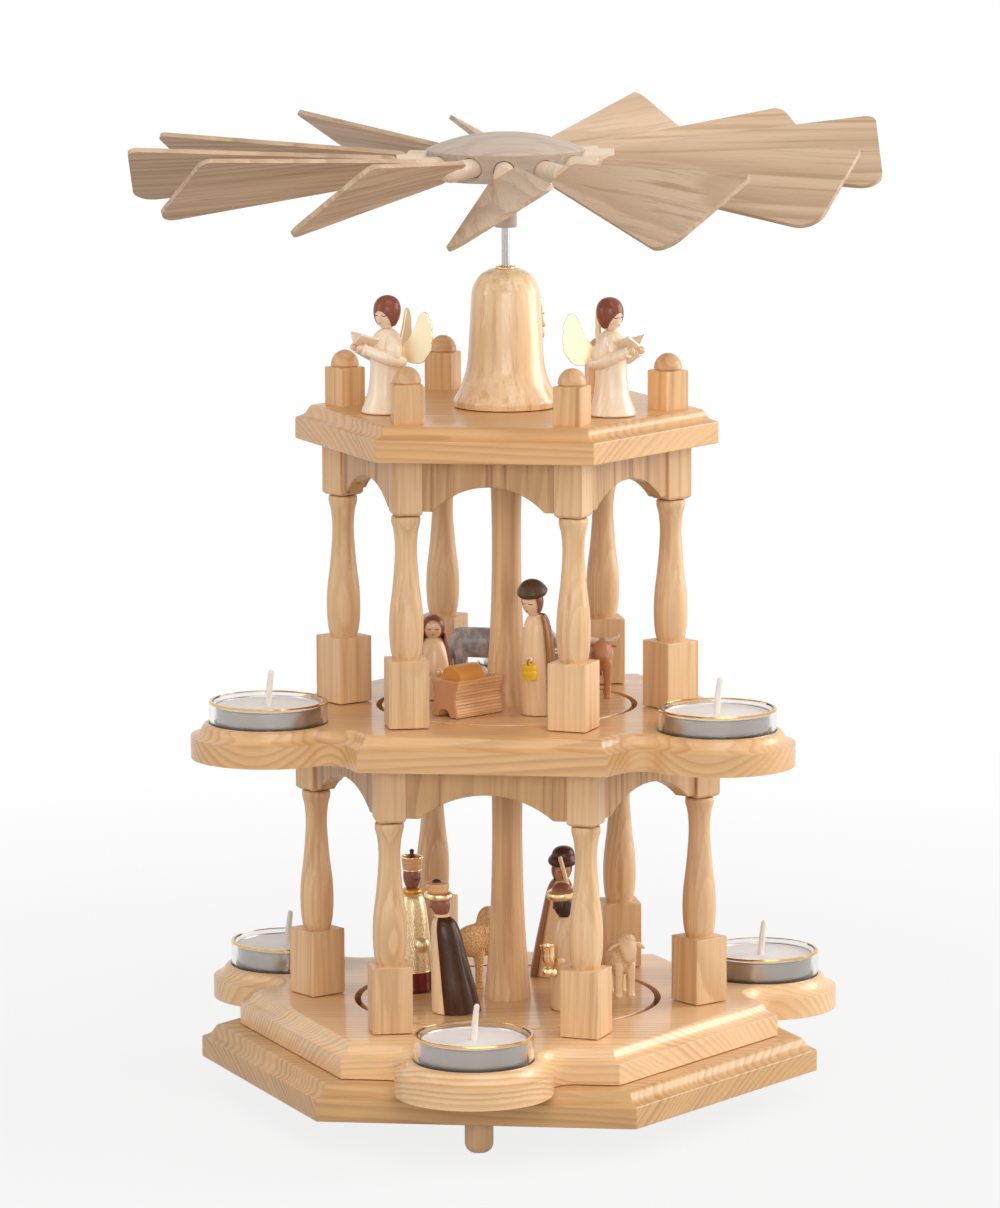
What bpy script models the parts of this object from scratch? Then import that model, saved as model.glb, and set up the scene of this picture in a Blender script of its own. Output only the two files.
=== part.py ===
"""Candle carousel: a three-level wooden stand for six tealights, whose fan turns two figure tables."""

import math

import bmesh
import bpy
from mathutils import Matrix, Vector

MM = 0.001

# Overall layout: the axis of the shaft is Z, the foot pegs stand on Z = 0
SIDES = 6
SIDE_STEP = 360 / SIDES
HALF_STEP = SIDE_STEP / 2
SEAT_GAP = 0.3 * MM
CUT_OVERRUN = 2 * MM

# Boards, from the bottom up: how far each corner stands beyond the columns, or the base beyond the deck
BOARD_THICKNESS = 13 * MM
BASE_CORNER_STEP = 15 * MM
LOWER_CORNER_MARGIN = 29.9 * MM
MIDDLE_CORNER_MARGIN = 19.1 * MM
TOP_CORNER_MARGIN = 18 * MM
MOULDING_INSET = 7.2 * MM
MOULDING_RISE = 4.8 * MM
MOULDING_SHARES = ((0.0, 1.0), (0.4, 0.76), (0.57, 0.45), (0.69, 0.13), (1.0, 0.0))

# Round candle arms of the lower and middle deck: their rim round the glass, and how far their centres
# stand out from the board's straight edge
ARM_RIM = 6.5 * MM
ARM_FILLET_RADIUS = 8 * MM
ARM_ARC_STEPS = 10
FILLET_STEPS = 2
LOWER_ARM_STAND = 17.7 * MM
MIDDLE_ARM_STAND = 16.7 * MM
LOWER_ARM_ANGLES = (270, 30, 150)
MIDDLE_ARM_ANGLES = (210, 330, 90)

# Peg feet under the base
FOOT_HEIGHT = 12 * MM
FOOT_RADIUS = 5.3 * MM
FOOT_INSET = 10.1 * MM
FOOT_ANGLES = (270, 30, 150)
FOOT_SINK = 1 * MM
FOOT_SHARES = ((0.0, 0.6), (0.09, 0.86), (0.22, 1.0), (1.0, 1.0))

# Bearing cup in the base, for the shaft's point
CUP_RIM = 2.4 * MM
CUP_FLOOR = 2.5 * MM
CUP_SHAFT_MARGIN = 1.1 * MM
CUP_HOLLOW_DEPTH = 3.5 * MM

# Columns: a square pedestal and a baluster, turned from one billet
COLUMN_HEIGHT = 78.4 * MM
PEDESTAL_SIDE = 15 * MM
PEDESTAL_HEIGHT = 25 * MM
BALUSTER_RADIUS = 6.35 * MM
BALUSTER_SHARES = (
    (0.0, 0.78), (0.06, 0.92), (0.19, 1.0), (0.34, 0.96), (0.52, 0.78), (0.75, 0.64), (0.89, 0.71),
    (0.96, 0.85), (1.0, 0.83),
)
BALUSTER_SINK = 1 * MM
LOWER_COLUMN_SETBACK = 14.8 * MM
UPPER_COLUMN_SETBACK = 12.7 * MM
SQUARE_TURN = 45

# Arcades: square capitals and arched panels, hung under the deck above
CAPITAL_SIDE = 11.2 * MM
CAPITAL_HEIGHT = 20.7 * MM
CAPITAL_CHAMFER = 1 * MM
PANEL_THICKNESS = 6 * MM
PANEL_RISE_OVER_CAPITAL = 1.6 * MM
LOWER_ARCH_SHOULDER = 6.1 * MM
UPPER_ARCH_SHOULDER = 4.9 * MM
ARCH_RISE = 9.2 * MM
ARCH_STEPS = 8

# Posts with half-ball caps on the top deck
POST_SIDE = 11 * MM
POST_HEIGHT = 15.3 * MM
POST_CAP_RADIUS = 5.1 * MM
POST_CAP_HEIGHT = 6.3 * MM
POST_CAP_STEPS = 3
POST_SINK = 1 * MM

# Bell and its brass bush
BELL_HEIGHT = 51.6 * MM
BELL_RADIUS = 19.6 * MM
BELL_SHARES = (
    (0.0, 0.99), (0.05, 1.0), (0.1, 0.93), (0.19, 0.82), (0.32, 0.735), (0.6, 0.69), (0.78, 0.66),
    (0.86, 0.635), (0.945, 0.51), (0.985, 0.36), (1.0, 0.25),
)
BUSH_WALL = 1.1 * MM
BUSH_HEIGHT = 7.5 * MM
BUSH_STAND = 1 * MM

# Shaft
SHAFT_RADIUS = 1.5 * MM
SHAFT_POINT_LENGTH = 3 * MM
SHAFT_TIP_RADIUS = 0.3 * MM
SHAFT_SHOWING = 14.5 * MM
SHAFT_HUB_REACH = 12 * MM
SHAFT_CLEARANCE = 0.3 * MM

# Figure tables with the wooden sleeve round the shaft
TABLE_THICKNESS = 7 * MM
LOWER_TABLE_RADIUS = 55.9 * MM
LOWER_TABLE_CLEARANCE = 2.3 * MM
UPPER_TABLE_RADIUS = 47.2 * MM
UPPER_TABLE_CLEARANCE = 2.1 * MM
LOWER_SLEEVE_RADIUS = 8.8 * MM
UPPER_SLEEVE_RADIUS = 8.4 * MM
SLEEVE_SHARES = (
    (0.0, 1.0), (0.06, 0.95), (0.16, 0.85), (0.32, 0.73), (0.52, 0.66), (0.72, 0.66), (1.0, 0.8),
)
SLEEVE_TOP_GAP = 1.5 * MM
TOP_BORE_MARGIN = 0.8 * MM

# Fan hub
HUB_NECK_LENGTH = 18 * MM
HUB_NECK_WALL = 2.4 * MM
HUB_RADIUS = 29.6 * MM
HUB_FOOT_INSET = 4.6 * MM
HUB_SIDE_HEIGHT = 11 * MM
HUB_DOME_RISE = 6.4 * MM
HUB_DOME_STEPS = 4
PEG_AXIS_RISE = 7 * MM

# Fan blades: a paddle in the slot of a round peg
BLADE_COUNT = 12
BLADE_STEP = 360 / BLADE_COUNT
BLADE_FIRST_ANGLE = 7.7
BLADE_REACH = 139.6 * MM
BLADE_STAND = 10.9 * MM
BLADE_ROOT_SINK = 0.6 * MM
BLADE_TIP_WIDTH = 45.8 * MM
BLADE_ROOT_WIDTH = 12.5 * MM
BLADE_THICKNESS = 2 * MM
BLADE_TIP_CORNER = 5 * MM
BLADE_ROOT_CORNER = 2 * MM
BLADE_CORNER_STEPS = 2
PEG_RADIUS = 3.65 * MM
PEG_DEPTH = 10.6 * MM
PEG_LAP = 10.5 * MM
PEG_POINT_LENGTH = 7 * MM
PEG_POINT_SHARE = 0.35
PEG_CLEARANCE = 0.3 * MM
# How each blade is set by hand: swing, lift and twist in degrees, counter-clockwise from the right
BLADE_SETTINGS = (
    (0, 1, 31), (2, 0, 32), (0, 1, 36), (0, -2, 29), (-3, -1, 34), (1, -2, 30),
    (0, -2, 29), (1, -2, 33), (2, -2, 37), (-2, -4, 32), (0, -4, 35), (-1, -2, 37),
)

# Tealight glasses and tealights
GLASS_HEIGHT = 18.6 * MM
GLASS_WALL = 1.6 * MM
GLASS_FLOOR = 2.2 * MM
GLASS_FOOT_ROUND = 2 * MM
GLASS_CLEARANCE = 0.5 * MM
LOWER_RECESS_FLOOR = 3.4 * MM
MIDDLE_RECESS_FLOOR = 2.2 * MM
TEALIGHT_RADIUS = 19.2 * MM
TEALIGHT_CLEARANCE = 1.2 * MM
TEALIGHT_HEIGHT = 14.6 * MM
TEALIGHT_LIP = 0.5 * MM
WAX_DEPTH = 1.4 * MM
WICK_RADIUS = 0.8 * MM
WICK_HEIGHT = 9 * MM
WICK_LEAN = 1.5 * MM

# Angels of the top deck: (half length, half width, height)
ANGEL_ANGLES = (210, 330, 90)
ANGEL_SETBACK = 12 * MM
ANGEL_SIZE = (10 * MM, 9.2 * MM, 45.8 * MM)
ANGEL_SHARES = (
    (0.0, 1.0), (0.03, 0.93), (0.13, 0.79), (0.30, 0.70), (0.50, 0.67), (0.64, 0.73), (0.72, 0.60),
    (0.76, 0.26), (0.80, 0.43), (0.87, 0.56), (0.94, 0.49), (1.0, 0.12),
)
ANGEL_ARM_SHARES = (
    ((0.0, 0.62, 0.63), (0.15, 0.89, 0.49), 0.25, 0.23),
    ((0.1, 0.89, 0.49), (1.06, 0.3, 0.545), 0.24, 0.18),
)
BOOK_SHARES = ((-0.52, -0.07), (0.52, -0.07), (0.52, 0.09), (-0.52, 0.09))
WING_SHARES = (
    (-0.2, -0.16), (0.3, -0.22), (0.85, -0.12), (1.0, 0.08), (0.75, 0.22), (0.4, 0.2), (0.1, 0.02),
)
ANGEL_PLATE_SHARES = (
    (BOOK_SHARES, (1.1, 0.0, 0.57), 0), (WING_SHARES, (-0.5, 0.3, 0.66), 45),
    (WING_SHARES, (-0.5, -0.3, 0.66), 135),
)
FIGURE_PLATE_THICKNESS = 1.2 * MM

# Figures of the upper table: place in shares of its radius, facing in degrees, (half length, half width,
# height)
CRIB_PLACE_SHARES = (-0.252, -0.502)
CRIB_FACING = 51.3
CRIB_SIZE = (25 * MM, 14 * MM, 13.7 * MM)
CRIB_TOP = 18.8 * MM
CRIB_END_THICKNESS = 2 * MM
CRIB_END_SHARES = (
    (-0.95, 0.0), (-0.4, 0.0), (-0.28, 0.14), (0.0, 0.2), (0.28, 0.14), (0.4, 0.0), (0.95, 0.0),
    (0.75, 0.45), (1.0, 1.0), (-1.0, 1.0), (-0.75, 0.45),
)
CRIB_FOOT_SHARE = 0.55
CRIB_CLEAR_SHARE = 0.1
CRIB_BLANKET_SHARE = 0.85
CRIB_BLANKET_STEPS = 8
DONKEY_PLACE_SHARES = (-0.089, 0.587)
DONKEY_FACING = 6.6
DONKEY_SIZE = (20.5 * MM, 4.5 * MM, 26 * MM)
DONKEY_BALL_SHARES = (((-0.16, 0.0, 0.68), (0.74, 1.0, 0.23)), ((0.84, 0.0, 0.75), (0.2, 0.6, 0.13)))
DONKEY_NECK_SHARES = (((0.35, 0.0, 0.7), (0.8, 0.0, 0.84), 0.75, 0.5),)
DONKEY_PAIR_SHARES = (
    ((0.75, 0.3, 0.83), (0.68, 0.55, 1.0), 0.22, 0.1),
    ((0.38, 0.5, -0.04), (0.38, 0.5, 0.62), 0.28, 0.4),
    ((-0.7, 0.5, -0.04), (-0.7, 0.5, 0.62), 0.28, 0.4),
)
OX_BALL_SHARES = (((-0.22, 0.0, 0.62), (0.75, 1.0, 0.23)), ((0.74, 0.0, 0.76), (0.26, 0.66, 0.17)))
OX_NECK_SHARES = (((0.3, 0.0, 0.68), (0.72, 0.0, 0.78), 0.7, 0.5),)
OX_PAIR_SHARES = (
    ((0.76, 0.35, 0.86), (0.8, 1.1, 0.97), 0.15, 0.07),
    ((0.34, 0.48, 0.0), (0.34, 0.48, 0.56), 0.3, 0.4),
    ((-0.76, 0.48, 0.0), (-0.76, 0.48, 0.56), 0.3, 0.4),
)
WOMAN_SHARES = (
    (0.0, 1.0), (0.3, 0.95), (0.55, 0.76), (0.7, 0.58), (0.76, 0.5), (0.82, 0.64), (0.92, 0.62),
    (0.98, 0.34), (1.0, 0.08),
)
WOMAN_ARM_SHARES = (((0.2, 0.5, 0.5), (1.15, 0.1, 0.42), 0.22, 0.16),)
MAN_SHARES = (
    (0.0, 1.0), (0.44, 0.76), (0.69, 0.5), (0.735, 0.42), (0.75, 0.34), (0.775, 0.47), (0.82, 0.53),
    (0.87, 0.48), (0.88, 0.66), (0.93, 0.76), (0.97, 0.55), (1.0, 0.1),
)
MAN_ROD_SHARES = (
    ((0.2, 0.55, 0.62), (1.0, 0.2, 0.42), 0.22, 0.17),
    ((1.08, 0.0, 0.27), (1.08, 0.0, 0.385), 0.34, 0.34),
)

# Figures of the lower table
CAMEL_PLACE_SHARES = (-0.127, 0.381)
CAMEL_FACING = 40
CAMEL_SIZE = (14 * MM, 6 * MM, 33 * MM)
CAMEL_BALL_SHARES = (
    ((-0.25, 0.0, 0.55), (0.72, 1.0, 0.2)), ((-0.25, 0.0, 0.74), (0.3, 0.55, 0.19)),
    ((0.82, 0.0, 0.84), (0.26, 0.4, 0.09)),
)
CAMEL_NECK_SHARES = (((0.3, 0.0, 0.58), (0.72, 0.0, 0.86), 0.5, 0.33),)
CAMEL_PAIR_SHARES = (
    ((0.25, 0.48, -0.03), (0.25, 0.48, 0.5), 0.24, 0.34),
    ((-0.72, 0.48, -0.03), (-0.72, 0.48, 0.5), 0.24, 0.34),
)
SHEEP_PLACE_SHARES = (0.791, 0.152)
SHEEP_FACING = -83
SHEEP_SIZE = (8.5 * MM, 5.8 * MM, 24.8 * MM)
SHEEP_BALL_SHARES = (((-0.15, 0.0, 0.55), (0.82, 1.0, 0.25)), ((0.66, 0.0, 0.8), (0.4, 0.68, 0.2)))
SHEEP_PAIR_SHARES = (
    ((0.66, 0.4, 0.86), (0.55, 1.3, 0.8), 0.25, 0.14),
    ((0.4, 0.45, -0.04), (0.4, 0.45, 0.5), 0.24, 0.34),
    ((-0.7, 0.45, -0.04), (-0.7, 0.45, 0.5), 0.24, 0.34),
)
GOLD_KING_SHARES = (
    (0.0, 1.0), (0.14, 0.94), (0.62, 0.62), (0.68, 0.52), (0.7, 0.36), (0.75, 0.45), (0.85, 0.45),
    (0.86, 0.52), (0.96, 0.57), (0.965, 0.16), (1.0, 0.05),
)
GOLD_KING_BALL_SHARES = (((0.86, 0.15, 0.3), (0.36, 0.36, 0.053)),)
CLOAKED_KING_SHARES = (
    (0.0, 1.0), (0.35, 0.76), (0.68, 0.5), (0.73, 0.36), (0.745, 0.3), (0.77, 0.39), (0.84, 0.38),
    (0.85, 0.5), (0.875, 0.57), (0.9, 0.42), (0.96, 0.43), (0.965, 0.18), (1.0, 0.12),
)
GOBLET_KING_SHARES = (
    (0.0, 1.0), (0.5, 0.72), (0.7, 0.5), (0.745, 0.34), (0.78, 0.47), (0.83, 0.51), (0.875, 0.45),
    (0.885, 0.6), (0.915, 0.68), (0.95, 0.55), (0.96, 0.36), (1.0, 0.15),
)
GOBLET_KING_ROD_SHARES = (
    ((0.2, 0.5, 0.55), (1.15, 0.1, 0.4), 0.22, 0.17), ((1.25, 0.0, 0.26), (1.25, 0.0, 0.5), 0.34, 0.38),
)
HERDSMAN_SHARES = (
    (0.0, 1.0), (0.4, 0.74), (0.69, 0.5), (0.735, 0.4), (0.75, 0.33), (0.775, 0.45), (0.82, 0.5),
    (0.87, 0.46), (0.88, 0.62), (0.925, 0.68), (0.97, 0.52), (1.0, 0.1),
)
HERDSMAN_ROD_SHARES = (
    ((0.1, -0.45, 0.62), (0.85, -0.3, 0.52), 0.22, 0.16),
    ((1.02, -0.3, 0.02), (0.68, -0.28, 0.93), 0.09, 0.09),
)

# Turning and faceting
TURN_STEPS = 20
SMALL_TURN_STEPS = 10
COLUMN_STEPS = 12
TABLE_STEPS = 24
HUB_STEPS = 24
GLASS_STEPS = 16
TEALIGHT_STEPS = 12
FIGURE_STEPS = 10
BALL_STEPS = 8
ROD_STEPS = 6
MERGE_DISTANCE = 0.01 * MM
SMOOTH_ANGLE = 40

# Levels that follow from the sizes above
BASE_TOP = FOOT_HEIGHT + BOARD_THICKNESS
LOWER_TOP = BASE_TOP + BOARD_THICKNESS
STOREY_HEIGHT = COLUMN_HEIGHT + CAPITAL_HEIGHT + 3 * SEAT_GAP
MIDDLE_TOP = LOWER_TOP + STOREY_HEIGHT + BOARD_THICKNESS
TOP_TOP = MIDDLE_TOP + STOREY_HEIGHT + BOARD_THICKNESS
BUSH_TOP = TOP_TOP + SEAT_GAP + BELL_HEIGHT + BUSH_STAND
NECK_BOTTOM = BUSH_TOP + SHAFT_SHOWING
HUB_BOTTOM = NECK_BOTTOM + HUB_NECK_LENGTH
SHAFT_TOP = HUB_BOTTOM + SHAFT_HUB_REACH
PEG_AXIS_HEIGHT = HUB_BOTTOM + PEG_AXIS_RISE

# Radii that follow: the table's opening sets the columns, and these the decks
FLAT_SHARE = math.cos(math.radians(HALF_STEP))
LOWER_OPENING_RADIUS = LOWER_TABLE_RADIUS + LOWER_TABLE_CLEARANCE
MIDDLE_OPENING_RADIUS = UPPER_TABLE_RADIUS + UPPER_TABLE_CLEARANCE
LOWER_COLUMN_CIRCLE = LOWER_OPENING_RADIUS + LOWER_COLUMN_SETBACK
UPPER_COLUMN_CIRCLE = MIDDLE_OPENING_RADIUS + UPPER_COLUMN_SETBACK
LOWER_CORNER_RADIUS = LOWER_COLUMN_CIRCLE + LOWER_CORNER_MARGIN
BASE_CORNER_RADIUS = LOWER_CORNER_RADIUS + BASE_CORNER_STEP
MIDDLE_CORNER_RADIUS = LOWER_COLUMN_CIRCLE + MIDDLE_CORNER_MARGIN
TOP_CORNER_RADIUS = UPPER_COLUMN_CIRCLE + TOP_CORNER_MARGIN
LOWER_ARM_REACH = LOWER_CORNER_RADIUS * FLAT_SHARE + LOWER_ARM_STAND
MIDDLE_ARM_REACH = MIDDLE_CORNER_RADIUS * FLAT_SHARE + MIDDLE_ARM_STAND
FOOT_CIRCLE_RADIUS = BASE_CORNER_RADIUS * FLAT_SHARE - FOOT_INSET
ANGEL_CIRCLE = UPPER_COLUMN_CIRCLE - ANGEL_SETBACK
GLASS_RADIUS = TEALIGHT_RADIUS + TEALIGHT_CLEARANCE + GLASS_WALL
RECESS_RADIUS = GLASS_RADIUS + GLASS_CLEARANCE
ARM_RADIUS = RECESS_RADIUS + ARM_RIM
SHAFT_BORE_RADIUS = SHAFT_RADIUS + SHAFT_CLEARANCE
CUP_HOLLOW_RADIUS = SHAFT_RADIUS + CUP_SHAFT_MARGIN
CUP_RADIUS = CUP_HOLLOW_RADIUS + CUP_RIM
CUP_HEIGHT = CUP_HOLLOW_DEPTH + CUP_FLOOR
BUSH_RADIUS = SHAFT_BORE_RADIUS + BUSH_WALL
BELL_BORE_RADIUS = BUSH_RADIUS + SEAT_GAP
TOP_BORE_RADIUS = BELL_BORE_RADIUS + TOP_BORE_MARGIN
HUB_NECK_RADIUS = SHAFT_BORE_RADIUS + HUB_NECK_WALL
HUB_FOOT_RADIUS = HUB_RADIUS - HUB_FOOT_INSET
PEG_INNER_END = HUB_RADIUS - PEG_DEPTH
BLADE_ROOT = HUB_RADIUS + BLADE_STAND
PEG_OUTER_END = BLADE_ROOT + PEG_LAP

WOOD = ("varnished_wood", (0.80, 0.56, 0.31), 0.35, 0.0)
PALE_WOOD = ("pale_wood", (0.74, 0.62, 0.49), 0.55, 0.0)
FIGURE_WOOD = ("figure_wood", (0.86, 0.68, 0.48), 0.4, 0.0)
STEEL = ("steel", (0.72, 0.72, 0.73), 0.25, 1.0)
BRASS = ("brass", (0.85, 0.65, 0.28), 0.3, 1.0)
GLASS = ("clear_glass", (0.92, 0.95, 0.95), 0.05, 0.0)
WAX = ("wax_and_aluminium", (0.90, 0.89, 0.87), 0.5, 0.0)
GOLD = ("gold_paint", (0.83, 0.66, 0.30), 0.3, 0.6)
DARK_STAIN = ("dark_stain", (0.16, 0.09, 0.06), 0.35, 0.0)
BROWN_STAIN = ("brown_stain", (0.42, 0.23, 0.12), 0.4, 0.0)

# Standing figures: their places in shares of the table's radius
FIGURE_PLACE_SHARES = {
    "kneeling_woman": (-0.593, 0.212), "man_with_lantern": (0.282, -0.458), "ox": (0.72, 0.392),
    "gold_king": (-0.671, 0.138), "cloaked_king": (-0.293, -0.49), "goblet_king": (0.46, -0.318),
    "herdsman": (0.229, 0.751),
}
# Name, floor, table radius, facing, size, profile, balls, rods, mirrored rods, lean, material
FIGURES = (
    ("kneeling_woman", MIDDLE_TOP, UPPER_TABLE_RADIUS, -50, (7 * MM, 7 * MM, 31.5 * MM),
     WOMAN_SHARES, (), (), WOMAN_ARM_SHARES, 1.5 * MM, FIGURE_WOOD),
    ("man_with_lantern", MIDDLE_TOP, UPPER_TABLE_RADIUS, 240, (7.5 * MM, 7.5 * MM, 51 * MM),
     MAN_SHARES, (), MAN_ROD_SHARES, (), 4 * MM, BROWN_STAIN),
    ("ox", MIDDLE_TOP, UPPER_TABLE_RADIUS, -83, (10 * MM, 4.6 * MM, 25.9 * MM),
     (), OX_BALL_SHARES, OX_NECK_SHARES, OX_PAIR_SHARES, 0.0, BROWN_STAIN),
    ("gold_king", LOWER_TOP, LOWER_TABLE_RADIUS, -30, (8 * MM, 8 * MM, 54.7 * MM),
     GOLD_KING_SHARES, GOLD_KING_BALL_SHARES, (), (), 0.0, GOLD),
    ("cloaked_king", LOWER_TOP, LOWER_TABLE_RADIUS, 187, (9.4 * MM, 9.4 * MM, 50.2 * MM),
     CLOAKED_KING_SHARES, (), (), (), 7.5 * MM, DARK_STAIN),
    ("goblet_king", LOWER_TOP, LOWER_TABLE_RADIUS, 200, (8 * MM, 8 * MM, 46.7 * MM),
     GOBLET_KING_SHARES, (), GOBLET_KING_ROD_SHARES, (), 0.0, FIGURE_WOOD),
    ("herdsman", LOWER_TOP, LOWER_TABLE_RADIUS, -100, (8 * MM, 8 * MM, 50.4 * MM),
     HERDSMAN_SHARES, (), HERDSMAN_ROD_SHARES, (), 1 * MM, BROWN_STAIN),
)


def clear_scene():
    """Empty the file, so that the script can be run again."""
    for obj in list(bpy.data.objects):
        bpy.data.objects.remove(obj, do_unlink=True)


def new_collection(name):
    """A collection linked to the scene."""
    made = bpy.data.collections.new(name)
    bpy.context.scene.collection.children.link(made)
    return made


def new_empty(name, collection):
    """An empty at the foot of the axis, which carries the pieces that move together."""
    made = bpy.data.objects.new(name, None)
    collection.objects.link(made)
    return made


clear_scene()
MODEL = new_collection("candle_carousel")
CUTTERS = new_collection("cutters")
STAND = new_empty("stand", MODEL)
ROTOR = new_empty("rotor", MODEL)
ROTOR.parent = STAND


def material(spec):
    """The Principled material of a (name, colour, roughness, metallic) description, made once."""
    name, colour, roughness, metallic = spec
    made = bpy.data.materials.get(name)
    if made is None:
        made = bpy.data.materials.new(name)
        made.use_nodes = True
        shader = made.node_tree.nodes["Principled BSDF"]
        shader.inputs["Base Color"].default_value = (*colour, 1)
        shader.inputs["Roughness"].default_value = roughness
        shader.inputs["Metallic"].default_value = metallic
    return made


def polar(radius, angle, height=0.0):
    """The point at a radius and an angle in degrees."""
    turn = math.radians(angle)
    return Vector((radius * math.cos(turn), radius * math.sin(turn), height))


def turned_to(angle):
    """Rotation about Z, in degrees."""
    return Matrix.Rotation(math.radians(angle), 4, "Z")


def placed(angle, radius, height, facing=0.0):
    """The matrix of a piece that stands at a polar place, with its own X turned outwards plus facing."""
    return Matrix.Translation(polar(radius, angle, height)) @ turned_to(angle + facing)


def mesh_of(bm, name):
    """A mesh from a bmesh, which is freed."""
    made = bpy.data.meshes.new(name)
    bm.to_mesh(made)
    bm.free()
    return made


def scratch_object(name, mesh):
    """A helper object that the build leaves out."""
    obj = bpy.data.objects.new(name, mesh)
    CUTTERS.objects.link(obj)
    obj.hide_render = True
    obj.display_type = "WIRE"
    return obj


def evaluated_mesh(obj):
    """The mesh of an object as its modifiers leave it; the object is removed."""
    bpy.context.view_layer.update()
    depsgraph = bpy.context.evaluated_depsgraph_get()
    mesh = bpy.data.meshes.new_from_object(obj.evaluated_get(depsgraph))
    mesh.transform(obj.matrix_world)
    bm = bmesh.new()
    bm.from_mesh(mesh)
    bmesh.ops.remove_doubles(bm, verts=bm.verts, dist=MERGE_DISTANCE)
    bm.to_mesh(mesh)
    bm.free()
    bpy.data.objects.remove(obj, do_unlink=True)
    return mesh


def add_part(name, mesh, spec, matrix=None, parent=None):
    """A finished sub-part: an object in the model's collection, with its material."""
    obj = bpy.data.objects.new(name, mesh)
    MODEL.objects.link(obj)
    obj.parent = parent or STAND
    if matrix is not None:
        obj.matrix_basis = matrix
    if not mesh.materials:
        mesh.materials.append(material(spec))
        mesh.shade_smooth()
        mesh.set_sharp_from_angle(angle=math.radians(SMOOTH_ANGLE))
    return obj


def box_mesh(size, centre, chamfer=0.0):
    """A box of a size about a centre, with its bottom edges chamfered."""
    bm = bmesh.new()
    bmesh.ops.create_cube(bm, size=1)
    bmesh.ops.scale(bm, vec=size, verts=bm.verts)
    if chamfer:
        low = [edge for edge in bm.edges if all(vert.co.z < 0 for vert in edge.verts)]
        bmesh.ops.bevel(bm, geom=low, offset=chamfer, segments=1, profile=0.5, affect="EDGES")
    bmesh.ops.translate(bm, vec=centre, verts=bm.verts)
    return mesh_of(bm, "box")


def ball_mesh(radii, centre):
    """An ellipsoid with three half-axes about a centre."""
    bm = bmesh.new()
    bmesh.ops.create_uvsphere(bm, u_segments=BALL_STEPS, v_segments=BALL_STEPS // 2 + 1, radius=1)
    bmesh.ops.scale(bm, vec=radii, verts=bm.verts)
    bmesh.ops.transform(bm, matrix=Matrix.Translation(centre), verts=bm.verts)
    return mesh_of(bm, "ball")


def rod_mesh(start, end, start_radius, end_radius):
    """A straight or tapered rod between two points."""
    start = Vector(start)
    along = Vector(end) - start
    bm = bmesh.new()
    bmesh.ops.create_cone(bm, cap_ends=True, segments=ROD_STEPS, radius1=start_radius, radius2=end_radius,
                          depth=along.length)
    turn = along.to_track_quat("Z", "Y").to_matrix().to_4x4()
    bmesh.ops.transform(bm, matrix=Matrix.Translation(start + along / 2) @ turn, verts=bm.verts)
    return mesh_of(bm, "rod")


def turned_mesh(rows, steps=TURN_STEPS, bored=False):
    """A turned shape from (radius, height) rows down its outer side, made with a Screw modifier."""
    mesh = bpy.data.meshes.new("turned")
    edges = [(index, index + 1) for index in range(len(rows) - 1)]
    if bored:
        edges.append((len(rows) - 1, 0))
    mesh.from_pydata([(radius, 0, height) for radius, height in rows], edges, [])
    obj = scratch_object("turned", mesh)
    screw = obj.modifiers.new("turn", "SCREW")
    screw.axis = "Z"
    screw.steps = steps
    screw.render_steps = steps
    screw.use_merge_vertices = True
    screw.merge_threshold = MERGE_DISTANCE
    return evaluated_mesh(obj)


def share_rows(shares, radius, height, base=0.0):
    """Rows of (radius, height), top first, from (height share, radius share) pairs, bottom first."""
    rows = [(radius * radius_share, base + height * height_share) for height_share, radius_share in shares]
    rows.reverse()
    return rows


def solid_rows(rows):
    """Rows closed on the axis at both ends."""
    return [(0.0, rows[0][1])] + rows + [(0.0, rows[-1][1])]


def bored_rows(rows, bore):
    """Rows closed along a bore, for a ring or a tube."""
    return rows + [(bore, rows[-1][1]), (bore, rows[0][1])]


def dome_rows(radius, rise, base, steps):
    """Rows of a dome, from its top on the axis down to its rim."""
    rows = [(0.0, base + rise)]
    for step in range(1, steps + 1):
        turn = math.radians(90 * step / steps)
        rows.append((radius * math.sin(turn), base + rise * math.cos(turn)))
    return rows


def plate_mesh(outline, thickness, matrix):
    """A flat outline in XY, extruded to a thickness about its plane, and placed."""
    curve = bpy.data.curves.new("plate", "CURVE")
    curve.dimensions = "2D"
    curve.fill_mode = "BOTH"
    curve.extrude = thickness / 2
    spline = curve.splines.new("POLY")
    spline.points.add(len(outline) - 1)
    for point, place in zip(spline.points, outline):
        point.co = (place[0], place[1], 0, 1)
    spline.use_cyclic_u = True
    obj = bpy.data.objects.new("plate", curve)
    CUTTERS.objects.link(obj)
    mesh = evaluated_mesh(obj)
    bpy.data.curves.remove(curve)
    mesh.transform(matrix)
    return mesh


def combined(meshes, cuts=()):
    """One closed mesh: the first mesh, joined with the others and cut by the cutters, with Booleans."""
    target = scratch_object("target", meshes[0])
    helpers = []
    for operation, group in (("UNION", meshes[1:]), ("DIFFERENCE", cuts)):
        for mesh in group:
            helper = scratch_object("helper", mesh)
            boolean = target.modifiers.new(operation.lower(), "BOOLEAN")
            boolean.operation = operation
            boolean.object = helper
            helpers.append(helper)
    mesh = evaluated_mesh(target)
    for helper in helpers:
        bpy.data.objects.remove(helper, do_unlink=True)
    return mesh


def moved(mesh, matrix):
    """A copy of a mesh, moved."""
    copy = mesh.copy()
    copy.transform(matrix)
    return copy


def arc(centre, radius, start, end, steps):
    """Points along an arc, angles in degrees."""
    turns = [math.radians(start + (end - start) * step / steps) for step in range(steps + 1)]
    return [(centre[0] + radius * math.cos(turn), centre[1] + radius * math.sin(turn)) for turn in turns]


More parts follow.
